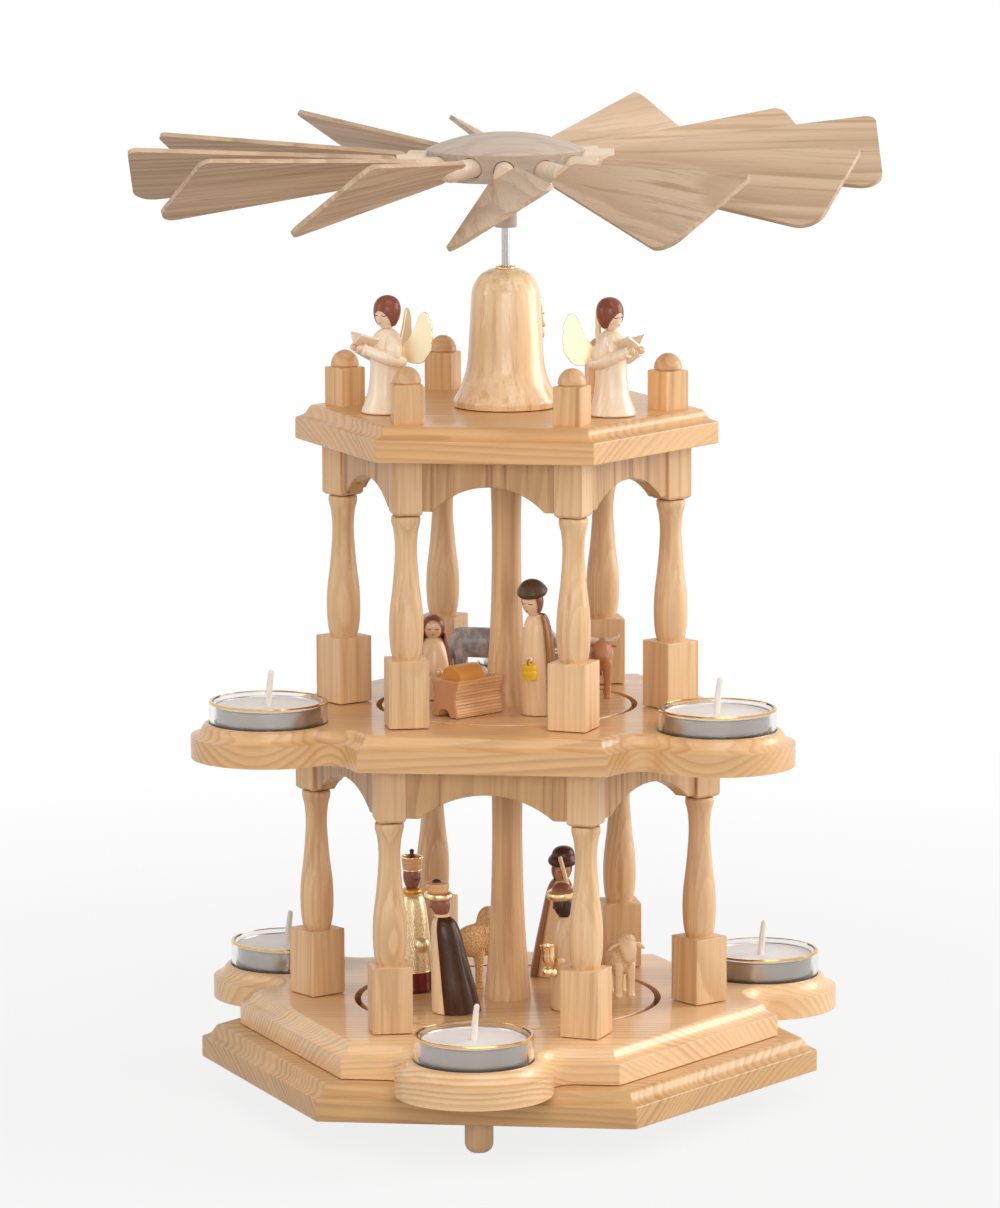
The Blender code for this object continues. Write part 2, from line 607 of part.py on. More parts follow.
def board_outline(corner_radius, inset, arm_angles=(), arm_reach=0.0):
    """The outline of a hexagonal board with round arms, drawn in by an inset."""
    apothem = corner_radius * FLAT_SHARE
    rise = arm_reach - apothem - ARM_FILLET_RADIUS
    offset = math.sqrt(max((ARM_RADIUS + ARM_FILLET_RADIUS) ** 2 - rise ** 2, 0))
    meeting = math.degrees(math.atan2(offset, rise))
    fillet_centre = apothem + ARM_FILLET_RADIUS
    outline = []
    for side in range(SIDES):
        normal = HALF_STEP + side * SIDE_STEP
        corner = corner_radius - inset / FLAT_SHARE
        outline.append(polar(corner, normal - HALF_STEP).xy)
        if normal in arm_angles:
            wide = ARM_FILLET_RADIUS + inset
            local = arc((fillet_centre, -offset), wide, 180, meeting, FILLET_STEPS)
            half_turn = 180 - meeting
            local += arc((arm_reach, 0), ARM_RADIUS - inset, -half_turn, half_turn, ARM_ARC_STEPS)[1:]
            local += arc((fillet_centre, offset), wide, -meeting, -180, FILLET_STEPS)[1:]
            turn = Matrix.Rotation(math.radians(normal), 2)
            outline += [turn @ Vector(point) for point in local]
    return outline


def board_mesh(corner_radius, bottom, top, arm_angles=(), arm_reach=0.0):
    """A board with the ogee moulding round its top edge: a loft between inset copies of its outline."""
    levels = [(0.0, bottom)]
    levels += [(MOULDING_INSET * inset, top - MOULDING_RISE * drop) for inset, drop in MOULDING_SHARES]
    bm = bmesh.new()
    rings = []
    for inset, height in levels:
        outline = board_outline(corner_radius, inset, arm_angles, arm_reach)
        rings.append([bm.verts.new((point[0], point[1], height)) for point in outline])
    for low, high in zip(rings, rings[1:]):
        for index in range(len(low)):
            after = (index + 1) % len(low)
            bm.faces.new((low[index], low[after], high[after], high[index]))
    bm.faces.new(list(reversed(rings[0])))
    bm.faces.new(rings[-1])
    return mesh_of(bm, "board")


def round_hole(radius, bottom, top, place=(0.0, 0.0), steps=TURN_STEPS):
    """A cutter for a round hole between two levels."""
    return moved(turned_mesh(solid_rows([(radius, top), (radius, bottom)]), steps),
                 Matrix.Translation((place[0], place[1], 0)))


def rounded_outline(corners, steps=BLADE_CORNER_STEPS):
    """The outline of a polygon, counter-clockwise, whose corners (x, y, radius) are rounded."""
    outline = []
    for index, (x, y, radius) in enumerate(corners):
        here = Vector((x, y))
        back = (Vector(corners[index - 1][:2]) - here).normalized()
        ahead = (Vector(corners[(index + 1) % len(corners)][:2]) - here).normalized()
        half = back.angle(ahead) / 2
        centre = here + (back + ahead).normalized() * (radius / math.sin(half))
        first = here + back * (radius / math.tan(half)) - centre
        sweep = math.degrees(first.angle_signed(here + ahead * (radius / math.tan(half)) - centre))
        start = math.degrees(math.atan2(first.y, first.x))
        outline += arc(centre, radius, start, start - sweep, steps)
    return outline


# Stands a plate up: its outline's X goes to Y, its Y to Z, and its thickness to X
UPRIGHT = Matrix(((0, 0, 1, 0), (1, 0, 0, 0), (0, 1, 0, 0), (0, 0, 0, 1)))
# Lays a turned piece along X
ALONG_X = Matrix.Rotation(math.radians(90), 4, "Y")


def make_base_plate():
    """The base board with its peg feet, and the socket of the bearing cup."""
    board = board_mesh(BASE_CORNER_RADIUS, FOOT_HEIGHT, BASE_TOP)
    foot_rows = share_rows(FOOT_SHARES, FOOT_RADIUS, FOOT_HEIGHT + FOOT_SINK)
    foot = turned_mesh(solid_rows(foot_rows), SMALL_TURN_STEPS)
    feet = [moved(foot, Matrix.Translation(polar(FOOT_CIRCLE_RADIUS, angle))) for angle in FOOT_ANGLES]
    socket = round_hole(CUP_RADIUS + SEAT_GAP, BASE_TOP - CUP_HEIGHT - SEAT_GAP, BASE_TOP + CUT_OVERRUN,
                        steps=SMALL_TURN_STEPS)
    add_part("base_plate", combined([board] + feet, [socket]), WOOD)


def make_bearing_cup():
    """The metal cup in which the shaft's point runs."""
    rows = [(0.0, BASE_TOP - CUP_HOLLOW_DEPTH), (CUP_HOLLOW_RADIUS, BASE_TOP), (CUP_RADIUS, BASE_TOP),
            (CUP_RADIUS, BASE_TOP - CUP_HEIGHT), (0.0, BASE_TOP - CUP_HEIGHT)]
    add_part("bearing_cup", turned_mesh(rows, SMALL_TURN_STEPS), STEEL)


def deck_cuts(top, opening_radius, arm_angles, arm_reach, recess_floor):
    """The round opening of a figure table and the recesses of the glasses."""
    bottom = top - BOARD_THICKNESS
    cuts = [round_hole(opening_radius, bottom - CUT_OVERRUN, top + CUT_OVERRUN, steps=TABLE_STEPS)]
    for angle in arm_angles:
        cuts.append(round_hole(RECESS_RADIUS, bottom + recess_floor, top + CUT_OVERRUN,
                               polar(arm_reach, angle)))
    return cuts


def make_lower_deck():
    """The lower deck, with its three arms."""
    arms = (LOWER_ARM_ANGLES, LOWER_ARM_REACH)
    board = board_mesh(LOWER_CORNER_RADIUS, BASE_TOP + SEAT_GAP, LOWER_TOP, *arms)
    cuts = deck_cuts(LOWER_TOP, LOWER_OPENING_RADIUS, *arms, LOWER_RECESS_FLOOR)
    add_part("lower_deck", combined([board], cuts), WOOD)


def make_middle_deck():
    """The middle deck, with its three arms between those of the lower deck."""
    arms = (MIDDLE_ARM_ANGLES, MIDDLE_ARM_REACH)
    board = board_mesh(MIDDLE_CORNER_RADIUS, MIDDLE_TOP - BOARD_THICKNESS, MIDDLE_TOP, *arms)
    cuts = deck_cuts(MIDDLE_TOP, MIDDLE_OPENING_RADIUS, *arms, MIDDLE_RECESS_FLOOR)
    add_part("middle_deck", combined([board], cuts), WOOD)


def make_top_deck():
    """The top deck with its six capped posts."""
    board = board_mesh(TOP_CORNER_RADIUS, TOP_TOP - BOARD_THICKNESS, TOP_TOP)
    post_size = (POST_SIDE, POST_SIDE, POST_HEIGHT + POST_SINK)
    post = box_mesh(post_size, (0, 0, TOP_TOP + (POST_HEIGHT - POST_SINK) / 2))
    cap_base = TOP_TOP + POST_HEIGHT
    cap_rows = dome_rows(POST_CAP_RADIUS, POST_CAP_HEIGHT, cap_base, POST_CAP_STEPS)
    cap_rows += [(POST_CAP_RADIUS, cap_base - POST_SINK), (0.0, cap_base - POST_SINK)]
    capped = combined([post, turned_mesh(cap_rows, SMALL_TURN_STEPS)])
    corners = [placed(side * SIDE_STEP, UPPER_COLUMN_CIRCLE, 0, SQUARE_TURN) for side in range(SIDES)]
    posts = [moved(capped, corner) for corner in corners]
    bore = round_hole(TOP_BORE_RADIUS, TOP_TOP - BOARD_THICKNESS - CUT_OVERRUN, TOP_TOP + CUT_OVERRUN,
                      steps=SMALL_TURN_STEPS)
    add_part("top_deck", combined([board] + posts, [bore]), WOOD)


def make_columns():
    """Twelve equal columns: a square pedestal under a turned baluster."""
    pedestal = box_mesh((PEDESTAL_SIDE, PEDESTAL_SIDE, PEDESTAL_HEIGHT), (0, 0, PEDESTAL_HEIGHT / 2))
    rows = share_rows(BALUSTER_SHARES, BALUSTER_RADIUS, COLUMN_HEIGHT - PEDESTAL_HEIGHT, PEDESTAL_HEIGHT)
    rows.append((rows[-1][0], PEDESTAL_HEIGHT - BALUSTER_SINK))
    column = combined([pedestal, turned_mesh(solid_rows(rows), COLUMN_STEPS)])
    storeys = (("lower", LOWER_COLUMN_CIRCLE, LOWER_TOP), ("upper", UPPER_COLUMN_CIRCLE, MIDDLE_TOP))
    for storey, circle, floor in storeys:
        for side in range(SIDES):
            matrix = placed(side * SIDE_STEP, circle, floor + SEAT_GAP, SQUARE_TURN)
            add_part(f"{storey}_column_{side + 1}", column, WOOD, matrix)


def make_arcade(name, circle, floor, shoulder):
    """A ring of six capitals joined by six arched panels, under a deck."""
    bottom = floor + 2 * SEAT_GAP + COLUMN_HEIGHT
    top = bottom + CAPITAL_HEIGHT
    panel_bottom = bottom + PANEL_RISE_OVER_CAPITAL
    half_side = circle * math.sin(math.radians(HALF_STEP))
    half_span = half_side - CAPITAL_SIDE / 2 - shoulder
    arch_radius = (half_span ** 2 + ARCH_RISE ** 2) / (2 * ARCH_RISE)
    arch_half_turn = math.degrees(math.asin(half_span / arch_radius))
    outline = [(-half_side, top), (-half_side, panel_bottom)]
    outline += arc((0, panel_bottom + ARCH_RISE - arch_radius), arch_radius, 90 + arch_half_turn,
                   90 - arch_half_turn, ARCH_STEPS)
    outline += [(half_side, panel_bottom), (half_side, top)]
    panel = plate_mesh(outline, PANEL_THICKNESS, UPRIGHT)
    capital = box_mesh((CAPITAL_SIDE, CAPITAL_SIDE, CAPITAL_HEIGHT), (0, 0, (bottom + top) / 2),
                       chamfer=CAPITAL_CHAMFER)
    apothem = circle * FLAT_SHARE
    pieces = [moved(capital, placed(side * SIDE_STEP, circle, 0, SQUARE_TURN)) for side in range(SIDES)]
    pieces += [moved(panel, placed(HALF_STEP + side * SIDE_STEP, apothem, 0)) for side in range(SIDES)]
    add_part(name, combined(pieces), WOOD)


def make_bell():
    """The turned bell with its bore."""
    rows = share_rows(BELL_SHARES, BELL_RADIUS, BELL_HEIGHT, TOP_TOP + SEAT_GAP)
    add_part("bell", turned_mesh(bored_rows(rows, BELL_BORE_RADIUS), TURN_STEPS, bored=True), WOOD)


def make_shaft_bush():
    """The brass bush at the top of the bell, the shaft's upper bearing."""
    rows = [(BUSH_RADIUS, BUSH_TOP), (BUSH_RADIUS, BUSH_TOP - BUSH_HEIGHT)]
    add_part("shaft_bush", turned_mesh(bored_rows(rows, SHAFT_BORE_RADIUS), SMALL_TURN_STEPS, bored=True),
             BRASS)


def make_shaft():
    """The steel shaft, from its point in the bearing cup up into the hub."""
    tip = BASE_TOP - CUP_HOLLOW_DEPTH + SHAFT_CLEARANCE * 2
    rows = [(SHAFT_RADIUS, SHAFT_TOP), (SHAFT_RADIUS, tip + SHAFT_POINT_LENGTH), (SHAFT_TIP_RADIUS, tip)]
    add_part("shaft", turned_mesh(solid_rows(rows), SMALL_TURN_STEPS), STEEL, parent=ROTOR)


def blade_frame(index):
    """The frame of a blade's peg: X outwards along the peg, Y towards the raised edge."""
    swing, lift, twist = BLADE_SETTINGS[index]
    turn = turned_to(BLADE_FIRST_ANGLE + index * BLADE_STEP + swing)
    tilt = Matrix.Rotation(math.radians(-lift), 4, "Y")
    roll = Matrix.Rotation(math.radians(twist), 4, "X")
    return Matrix.Translation((0, 0, PEG_AXIS_HEIGHT)) @ turn @ tilt @ roll


def make_fan_hub():
    """The domed hub with its neck, a blind bore for the shaft and twelve bores for the pegs."""
    bore_top = SHAFT_TOP + SEAT_GAP
    rows = dome_rows(HUB_RADIUS, HUB_DOME_RISE, HUB_BOTTOM + HUB_SIDE_HEIGHT, HUB_DOME_STEPS)
    rows += [(HUB_FOOT_RADIUS, HUB_BOTTOM), (HUB_NECK_RADIUS, HUB_BOTTOM), (HUB_NECK_RADIUS, NECK_BOTTOM),
             (SHAFT_BORE_RADIUS, NECK_BOTTOM), (SHAFT_BORE_RADIUS, bore_top), (0.0, bore_top)]
    peg_bore = PEG_RADIUS + PEG_CLEARANCE
    bore_rows = [(peg_bore, HUB_RADIUS + CUT_OVERRUN), (peg_bore, PEG_INNER_END - SEAT_GAP)]
    cutter = turned_mesh(solid_rows(bore_rows), SMALL_TURN_STEPS)
    cuts = [moved(cutter, blade_frame(index) @ ALONG_X) for index in range(BLADE_COUNT)]
    add_part("fan_hub", combined([turned_mesh(rows, HUB_STEPS)], cuts), PALE_WOOD, parent=ROTOR)


def make_blades():
    """Twelve equal blades: a paddle lapped on the outer half of a round peg."""
    peg_rows = [(PEG_RADIUS * PEG_POINT_SHARE, PEG_OUTER_END),
                (PEG_RADIUS, PEG_OUTER_END - PEG_POINT_LENGTH), (PEG_RADIUS, PEG_INNER_END)]
    peg = moved(turned_mesh(solid_rows(peg_rows), SMALL_TURN_STEPS), ALONG_X)
    lap_length = PEG_OUTER_END - BLADE_ROOT + CUT_OVERRUN
    lap = box_mesh((lap_length, PEG_RADIUS * 3, PEG_RADIUS * 2),
                   (BLADE_ROOT + lap_length / 2, 0, PEG_RADIUS))
    root = BLADE_ROOT_WIDTH / 2
    tip = BLADE_TIP_WIDTH / 2
    start = BLADE_ROOT - BLADE_ROOT_SINK
    corners = [(start, -root, BLADE_ROOT_CORNER), (BLADE_REACH, -tip, BLADE_TIP_CORNER),
               (BLADE_REACH, tip, BLADE_TIP_CORNER), (start, root, BLADE_ROOT_CORNER)]
    paddle = plate_mesh(rounded_outline(corners), BLADE_THICKNESS, Matrix.Identity(4))
    blade = combined([combined([peg], [lap]), paddle])
    for index in range(BLADE_COUNT):
        add_part(f"blade_{index + 1:02d}", blade, PALE_WOOD, blade_frame(index), ROTOR)


def glass_places():
    """The name, place and recess floor of each glass."""
    rows = []
    for storey, angles, reach, floor in (
        ("lower", LOWER_ARM_ANGLES, LOWER_ARM_REACH, LOWER_TOP - BOARD_THICKNESS + LOWER_RECESS_FLOOR),
        ("upper", MIDDLE_ARM_ANGLES, MIDDLE_ARM_REACH, MIDDLE_TOP - BOARD_THICKNESS + MIDDLE_RECESS_FLOOR),
    ):
        for number, angle in enumerate(angles, 1):
            rows.append((f"{storey}_{{}}_{number}", polar(reach, angle, floor + SEAT_GAP)))
    return rows


def make_glasses():
    """Six round glasses, each in its recess, and the tealight in each glass."""
    inner = GLASS_RADIUS - GLASS_WALL
    glass_rows = [(0.0, GLASS_FLOOR), (inner, GLASS_FLOOR), (inner, GLASS_HEIGHT),
                  (GLASS_RADIUS, GLASS_HEIGHT), (GLASS_RADIUS, GLASS_FOOT_ROUND),
                  (GLASS_RADIUS - GLASS_FOOT_ROUND, 0.0), (0.0, 0.0)]
    glass = turned_mesh(glass_rows, GLASS_STEPS)
    wax = TEALIGHT_HEIGHT - WAX_DEPTH
    side = TEALIGHT_RADIUS - TEALIGHT_LIP
    cup_rows = [(0.0, wax), (side - TEALIGHT_LIP, wax), (side - TEALIGHT_LIP, TEALIGHT_HEIGHT),
                (TEALIGHT_RADIUS, TEALIGHT_HEIGHT), (side, TEALIGHT_HEIGHT - TEALIGHT_LIP), (side, 0.0),
                (0.0, 0.0)]
    cup = turned_mesh(cup_rows, TEALIGHT_STEPS)
    wick = rod_mesh((0, 0, wax - WAX_DEPTH), (WICK_LEAN, 0, wax + WICK_HEIGHT), WICK_RADIUS, WICK_RADIUS)
    tealight = combined([cup, wick])
    for name, place in glass_places():
        add_part(name.format("glass"), glass, GLASS, Matrix.Translation(place))
        lifted = place + Vector((0, 0, GLASS_FLOOR + SEAT_GAP))
        add_part(name.format("tealight"), tealight, WAX, Matrix.Translation(lifted))


def mirror_share(point_shares):
    """The same point on the other side of a figure."""
    return (point_shares[0], -point_shares[1], point_shares[2])


def scaled(point_shares, size):
    """A point from its shares of a size."""
    return Vector([share * length for share, length in zip(point_shares, size)])


def figure_mesh(size, turned=(), balls=(), rods=(), pairs=(), plates=(), lean=0.0):
    """A figure that stands on its own origin and looks along X, from shares of its size.

    The size is (half length, half width, height). Turned holds (height, radius) pairs, balls (centre,
    half-axes), rods and pairs (start, end, start radius, end radius), and plates (outline, centre, turn
    about Z). Pairs are mirrored to the other side. Lean shifts the top of the figure along X.
    """
    meshes = []
    if turned:
        meshes.append(turned_mesh(solid_rows(share_rows(turned, size[1], size[2])), FIGURE_STEPS))
    for centre, axes in balls:
        meshes.append(ball_mesh(scaled(axes, size), scaled(centre, size)))
    mirrored = [(mirror_share(start), mirror_share(end), *radii) for start, end, *radii in pairs]
    for start, end, start_radius, end_radius in (*rods, *pairs, *mirrored):
        radii = (size[1] * start_radius, size[1] * end_radius)
        meshes.append(rod_mesh(scaled(start, size), scaled(end, size), *radii))
    for outline, centre, turn in plates:
        points = [(share[0] * size[1], share[1] * size[2]) for share in outline]
        matrix = Matrix.Translation(scaled(centre, size)) @ turned_to(turn) @ UPRIGHT
        meshes.append(plate_mesh(points, FIGURE_PLATE_THICKNESS, matrix))
    mesh = combined(meshes) if len(meshes) > 1 else meshes[0]
    shear = Matrix.Identity(4)
    shear[0][2] = lean / size[2]
    mesh.transform(shear)
    return mesh


def standing_at(place_shares, table_radius, facing, floor):
    """The matrix of a figure on a table, at a place in shares of the table's radius, facing an angle."""
    across, along = place_shares
    return Matrix.Translation((across * table_radius, along * table_radius, floor)) @ turned_to(facing)


def table_mesh(table_radius, sleeve_radius, top, sleeve_top):
    """A figure table with its sleeve round the shaft, turned in one."""
    sleeve = share_rows(SLEEVE_SHARES, sleeve_radius, sleeve_top - top, top)
    rows = sleeve + [(table_radius, top), (table_radius, top - TABLE_THICKNESS)]
    return turned_mesh(bored_rows(rows, SHAFT_BORE_RADIUS), TABLE_STEPS, bored=True)


def make_lower_turntable():
    """The lower figure table, with the camel and the sheep glued on it."""
    table = table_mesh(LOWER_TABLE_RADIUS, LOWER_SLEEVE_RADIUS, LOWER_TOP,
                       MIDDLE_TOP - TABLE_THICKNESS - SEAT_GAP)
    camel = figure_mesh(CAMEL_SIZE, balls=CAMEL_BALL_SHARES, rods=CAMEL_NECK_SHARES, pairs=CAMEL_PAIR_SHARES)
    camel.transform(standing_at(CAMEL_PLACE_SHARES, LOWER_TABLE_RADIUS, CAMEL_FACING, LOWER_TOP))
    sheep = figure_mesh(SHEEP_SIZE, balls=SHEEP_BALL_SHARES, pairs=SHEEP_PAIR_SHARES)
    sheep.transform(standing_at(SHEEP_PLACE_SHARES, LOWER_TABLE_RADIUS, SHEEP_FACING, LOWER_TOP))
    add_part("lower_turntable", combined([table, camel, sheep]), WOOD, parent=ROTOR)


def make_upper_turntable():
    """The upper figure table, with the donkey glued on it."""
    table = table_mesh(UPPER_TABLE_RADIUS, UPPER_SLEEVE_RADIUS, MIDDLE_TOP,
                       TOP_TOP - BOARD_THICKNESS - SLEEVE_TOP_GAP)
    donkey = figure_mesh(DONKEY_SIZE, balls=DONKEY_BALL_SHARES, rods=DONKEY_NECK_SHARES,
                         pairs=DONKEY_PAIR_SHARES)
    donkey.transform(standing_at(DONKEY_PLACE_SHARES, UPPER_TABLE_RADIUS, DONKEY_FACING, MIDDLE_TOP))
    add_part("upper_turntable", combined([table, donkey]), WOOD, parent=ROTOR)


def make_angels():
    """Three equal angels with a book and wings, on the top deck."""
    angel = figure_mesh(ANGEL_SIZE, ANGEL_SHARES, pairs=ANGEL_ARM_SHARES, plates=ANGEL_PLATE_SHARES)
    for number, angle in enumerate(ANGEL_ANGLES, 1):
        add_part(f"angel_{number}", angel, FIGURE_WOOD, placed(angle, ANGEL_CIRCLE, TOP_TOP + SEAT_GAP))


def make_crib():
    """The crib: slanting slatted sides between two end panels, and the rounded blanket on top."""
    length, width, height = CRIB_SIZE
    half = width / 2
    foot = half * CRIB_FOOT_SHARE
    clear = height * CRIB_CLEAR_SHARE
    trough = [(-foot, clear), (foot, clear), (half, height), (-half, height)]
    body = plate_mesh(trough, length - CRIB_END_THICKNESS, UPRIGHT)
    end = [(half * x_share, height * z_share) for x_share, z_share in CRIB_END_SHARES]
    panel = plate_mesh(end, CRIB_END_THICKNESS, UPRIGHT)
    end_place = Vector(((length - CRIB_END_THICKNESS) / 2, 0, 0))
    ends = [moved(panel, Matrix.Translation(end_place * side)) for side in (-1, 1)]
    blanket_width = half * CRIB_BLANKET_SHARE
    cover = arc((0, 0), 1, 0, 180, CRIB_BLANKET_STEPS)
    outline = [(x * blanket_width, clear + z * (CRIB_TOP - clear)) for x, z in cover]
    blanket = plate_mesh(outline, length - CRIB_END_THICKNESS / 2, UPRIGHT)
    place = standing_at(CRIB_PLACE_SHARES, UPPER_TABLE_RADIUS, CRIB_FACING, MIDDLE_TOP + SEAT_GAP)
    add_part("crib", combined([body] + ends + [blanket]), FIGURE_WOOD, place, ROTOR)


def make_figures():
    """The loose figures of both tables."""
    for name, floor, radius, facing, size, turned, balls, rods, pairs, lean, spec in FIGURES:
        mesh = figure_mesh(size, turned, balls, rods, pairs, lean=lean)
        place = standing_at(FIGURE_PLACE_SHARES[name], radius, facing, floor + SEAT_GAP)
        add_part(name, mesh, spec, place, ROTOR)


make_base_plate()
make_bearing_cup()
make_lower_deck()
make_middle_deck()
make_top_deck()
make_columns()
make_arcade("lower_arcade", LOWER_COLUMN_CIRCLE, LOWER_TOP, LOWER_ARCH_SHOULDER)
make_arcade("upper_arcade", UPPER_COLUMN_CIRCLE, MIDDLE_TOP, UPPER_ARCH_SHOULDER)
make_bell()
make_shaft_bush()
make_shaft()
make_fan_hub()
make_blades()
make_glasses()
make_lower_turntable()
make_upper_turntable()
make_angels()
make_crib()
make_figures()
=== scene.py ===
"""Looks of the candle carousel: turned and moulded wood, painted figures, glasses and tealights."""

import math

import bmesh
import bpy
from mathutils import Matrix, Vector


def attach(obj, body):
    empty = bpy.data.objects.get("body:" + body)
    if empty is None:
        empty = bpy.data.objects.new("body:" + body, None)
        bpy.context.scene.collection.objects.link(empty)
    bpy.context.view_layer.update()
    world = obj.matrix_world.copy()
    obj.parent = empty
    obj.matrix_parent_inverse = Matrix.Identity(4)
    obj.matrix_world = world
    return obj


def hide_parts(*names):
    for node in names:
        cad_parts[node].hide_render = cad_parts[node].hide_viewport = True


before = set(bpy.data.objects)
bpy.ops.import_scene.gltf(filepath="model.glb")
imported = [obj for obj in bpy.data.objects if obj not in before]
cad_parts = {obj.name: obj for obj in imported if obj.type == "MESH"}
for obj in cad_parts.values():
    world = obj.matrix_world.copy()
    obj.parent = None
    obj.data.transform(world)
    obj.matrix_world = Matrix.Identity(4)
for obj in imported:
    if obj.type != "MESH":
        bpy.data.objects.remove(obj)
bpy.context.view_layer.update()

MM = 0.001
SIDES = 6
FLAT = math.cos(math.radians(30))

# Boards: the levels of their faces, their corner radii, mouldings, arms and openings
BASE_LOW, BASE_TOP = 12 * MM, 25 * MM
LOWER_LOW, LOWER_TOP = 25.3 * MM, 38 * MM
MIDDLE_LOW, MIDDLE_TOP = 138 * MM, 151 * MM
TOP_LOW, TOP_TOP = 251 * MM, 264 * MM
BASE_CORNER = 117.9 * MM
LOWER_CORNER = 102.9 * MM
MIDDLE_CORNER = 92.1 * MM
TOP_CORNER = 80 * MM
MOULDING_WIDTH = 7.2 * MM
MOULDING_HEIGHT = 4.8 * MM
MOULDING_SHARES = (
    (0.12, 0.96), (0.26, 0.88), (0.38, 0.77), (0.48, 0.63), (0.55, 0.46), (0.61, 0.29), (0.68, 0.14),
    (0.77, 0.05), (0.88, 0.01), (1.0, 0.0),
)
ARM_RADIUS = 29 * MM
FILLET_RADIUS = 8 * MM
LOWER_REACH = 106.8 * MM
MIDDLE_REACH = 96.46 * MM
LOWER_ARMS = (270, 30, 150)
MIDDLE_ARMS = (210, 330, 90)
LOWER_COLUMNS = 73 * MM
UPPER_COLUMNS = 62 * MM
POST_INSET = 1.1 * MM
LOWER_OPENING = 58.2 * MM
MIDDLE_OPENING = 49.3 * MM
RECESS_RADIUS = 22.15 * MM
SEAT = 0.3 * MM
OVER = 2 * MM
BOARD_BEVEL = 0.45
UPRIGHT = Matrix(((0, 0, 1, 0), (1, 0, 0, 0), (0, 1, 0, 0), (0, 0, 0, 1)))


# Placing

def polar(radius, angle, height=0.0):
    """The point at a radius and an angle in degrees."""
    turn = math.radians(angle)
    return Vector((radius * math.cos(turn), radius * math.sin(turn), height))


def spun(angle, axis="Z"):
    """Rotation about an axis, in degrees."""
    return Matrix.Rotation(math.radians(angle), 4, axis)


def on_circle(radius, angle, height=0.0, facing=0.0):
    """The matrix of a piece at a polar place, its own X turned outwards plus facing."""
    return Matrix.Translation(polar(radius, angle, height)) @ spun(angle + facing)


def leaning(amount, height):
    """A shear that moves the top of a figure forwards."""
    made = Matrix.Identity(4)
    made[0][2] = amount / height
    return made


# Shaping

def smooth(points, cuts=4):
    """Points on a Catmull-Rom curve through the given points."""
    points = [Vector(point) for point in points]
    made = []
    for index in range(len(points) - 1):
        before = points[max(index - 1, 0)]
        here = points[index]
        after = points[index + 1]
        beyond = points[min(index + 2, len(points) - 1)]
        for cut in range(cuts):
            t = cut / cuts
            square = (before * 2 - here * 5 + after * 4 - beyond) * t * t
            cube = (here * 3 - before - after * 3 + beyond) * t ** 3
            made.append((here * 2 + (after - before) * t + square + cube) / 2)
    made.append(points[-1])
    return made


def moved(bm, matrix):
    """Moves a bmesh and gives it back."""
    bmesh.ops.transform(bm, matrix=matrix, verts=bm.verts)
    return bm


def turned(rows, steps=64, angle=360, closed=False):
    """A shape turned on a lathe from (radius, height) rows, in millimetres."""
    bm = bmesh.new()
    verts = [bm.verts.new((row[0] * MM, 0, row[1] * MM)) for row in rows]
    edges = [bm.edges.new(pair) for pair in zip(verts, verts[1:])]
    if closed:
        edges.append(bm.edges.new((verts[-1], verts[0])))
    bmesh.ops.spin(bm, geom=verts + edges, cent=(0, 0, 0), axis=(0, 0, 1), angle=math.radians(angle),
                   steps=steps, use_merge=angle == 360)
    return bm


def ring(centre, wide, high, ahead=(0, 0, 1), side=(1, 0, 0)):
    """The matrix that puts a unit circle at a centre, across a direction, with two half-widths, in mm."""
    ahead = Vector(ahead).normalized()
    side = Vector(side)
    side = (side - ahead * side.dot(ahead)).normalized()
    up = ahead.cross(side)
    made = Matrix.Identity(4)
    made.col[0] = (side * wide * MM).to_4d()
    made.col[1] = (up * high * MM).to_4d()
    made.col[2] = (ahead * MM).to_4d()
    for column in range(3):
        made[3][column] = 0
    made.translation = Vector(centre) * MM
    return made


def loft(rings, sides):
    """A closed skin over circles, bridged from ring to ring."""
    bm = bmesh.new()
    loops = []
    for matrix in rings:
        made = bmesh.ops.create_circle(bm, cap_ends=False, segments=sides, radius=1, matrix=matrix)
        loops.append(list({edge for vert in made["verts"] for edge in vert.link_edges}))
    for first, second in zip(loops, loops[1:]):
        bmesh.ops.bridge_loops(bm, edges=first + second)
    for loop in (loops[0], loops[-1]):
        bmesh.ops.contextual_create(bm, geom=loop)
    return bm


def limb(points, radii, sides=14, cuts=3, flat=1.0):
    """A limb with round ends along points, in mm, with a radius at each."""
    rows = smooth([(*point, radius) for point, radius in zip(points, radii)], cuts)
    places = [Vector(row[:3]) for row in rows]
    sizes = [row[3] for row in rows]
    rings = []
    side = None
    last = len(places) - 1
    for index, (place, size) in enumerate(zip(places, sizes)):
        ahead = (places[min(index + 1, last)] - places[max(index - 1, 0)]).normalized()
        side = ahead.orthogonal() if side is None else (side - ahead * side.dot(ahead)).normalized()
        ends = ()
        if index in (0, last):
            ends = ((0.98, 0.2), (0.85, 0.55), (0.5, 0.87))
        sign = -1 if index == 0 else 1
        caps = [ring(place + ahead * size * far * sign, size * near, size * near * flat, ahead, side)
                for far, near in ends]
        here = [ring(place, size, size * flat, ahead, side)]
        rings += caps + here if index == 0 else here + caps[::-1]
    return loft(rings, sides)


def blob(rows):
    """A rounded body along X from (x, z, half-width, half-height) rows, in mm."""
    rings = [ring((x, 0, z), wide, high, (1, 0, 0), (0, 1, 0)) for x, z, wide, high in smooth(rows, 3)]
    return loft(rings, 20)


def box(size, centre=(0, 0, 0)):
    """A block of a size about a centre, in mm."""
    bm = bmesh.new()
    bmesh.ops.create_cube(bm, size=MM)
    bmesh.ops.scale(bm, vec=size, verts=bm.verts)
    bmesh.ops.translate(bm, vec=Vector(centre) * MM, verts=bm.verts)
    return bm


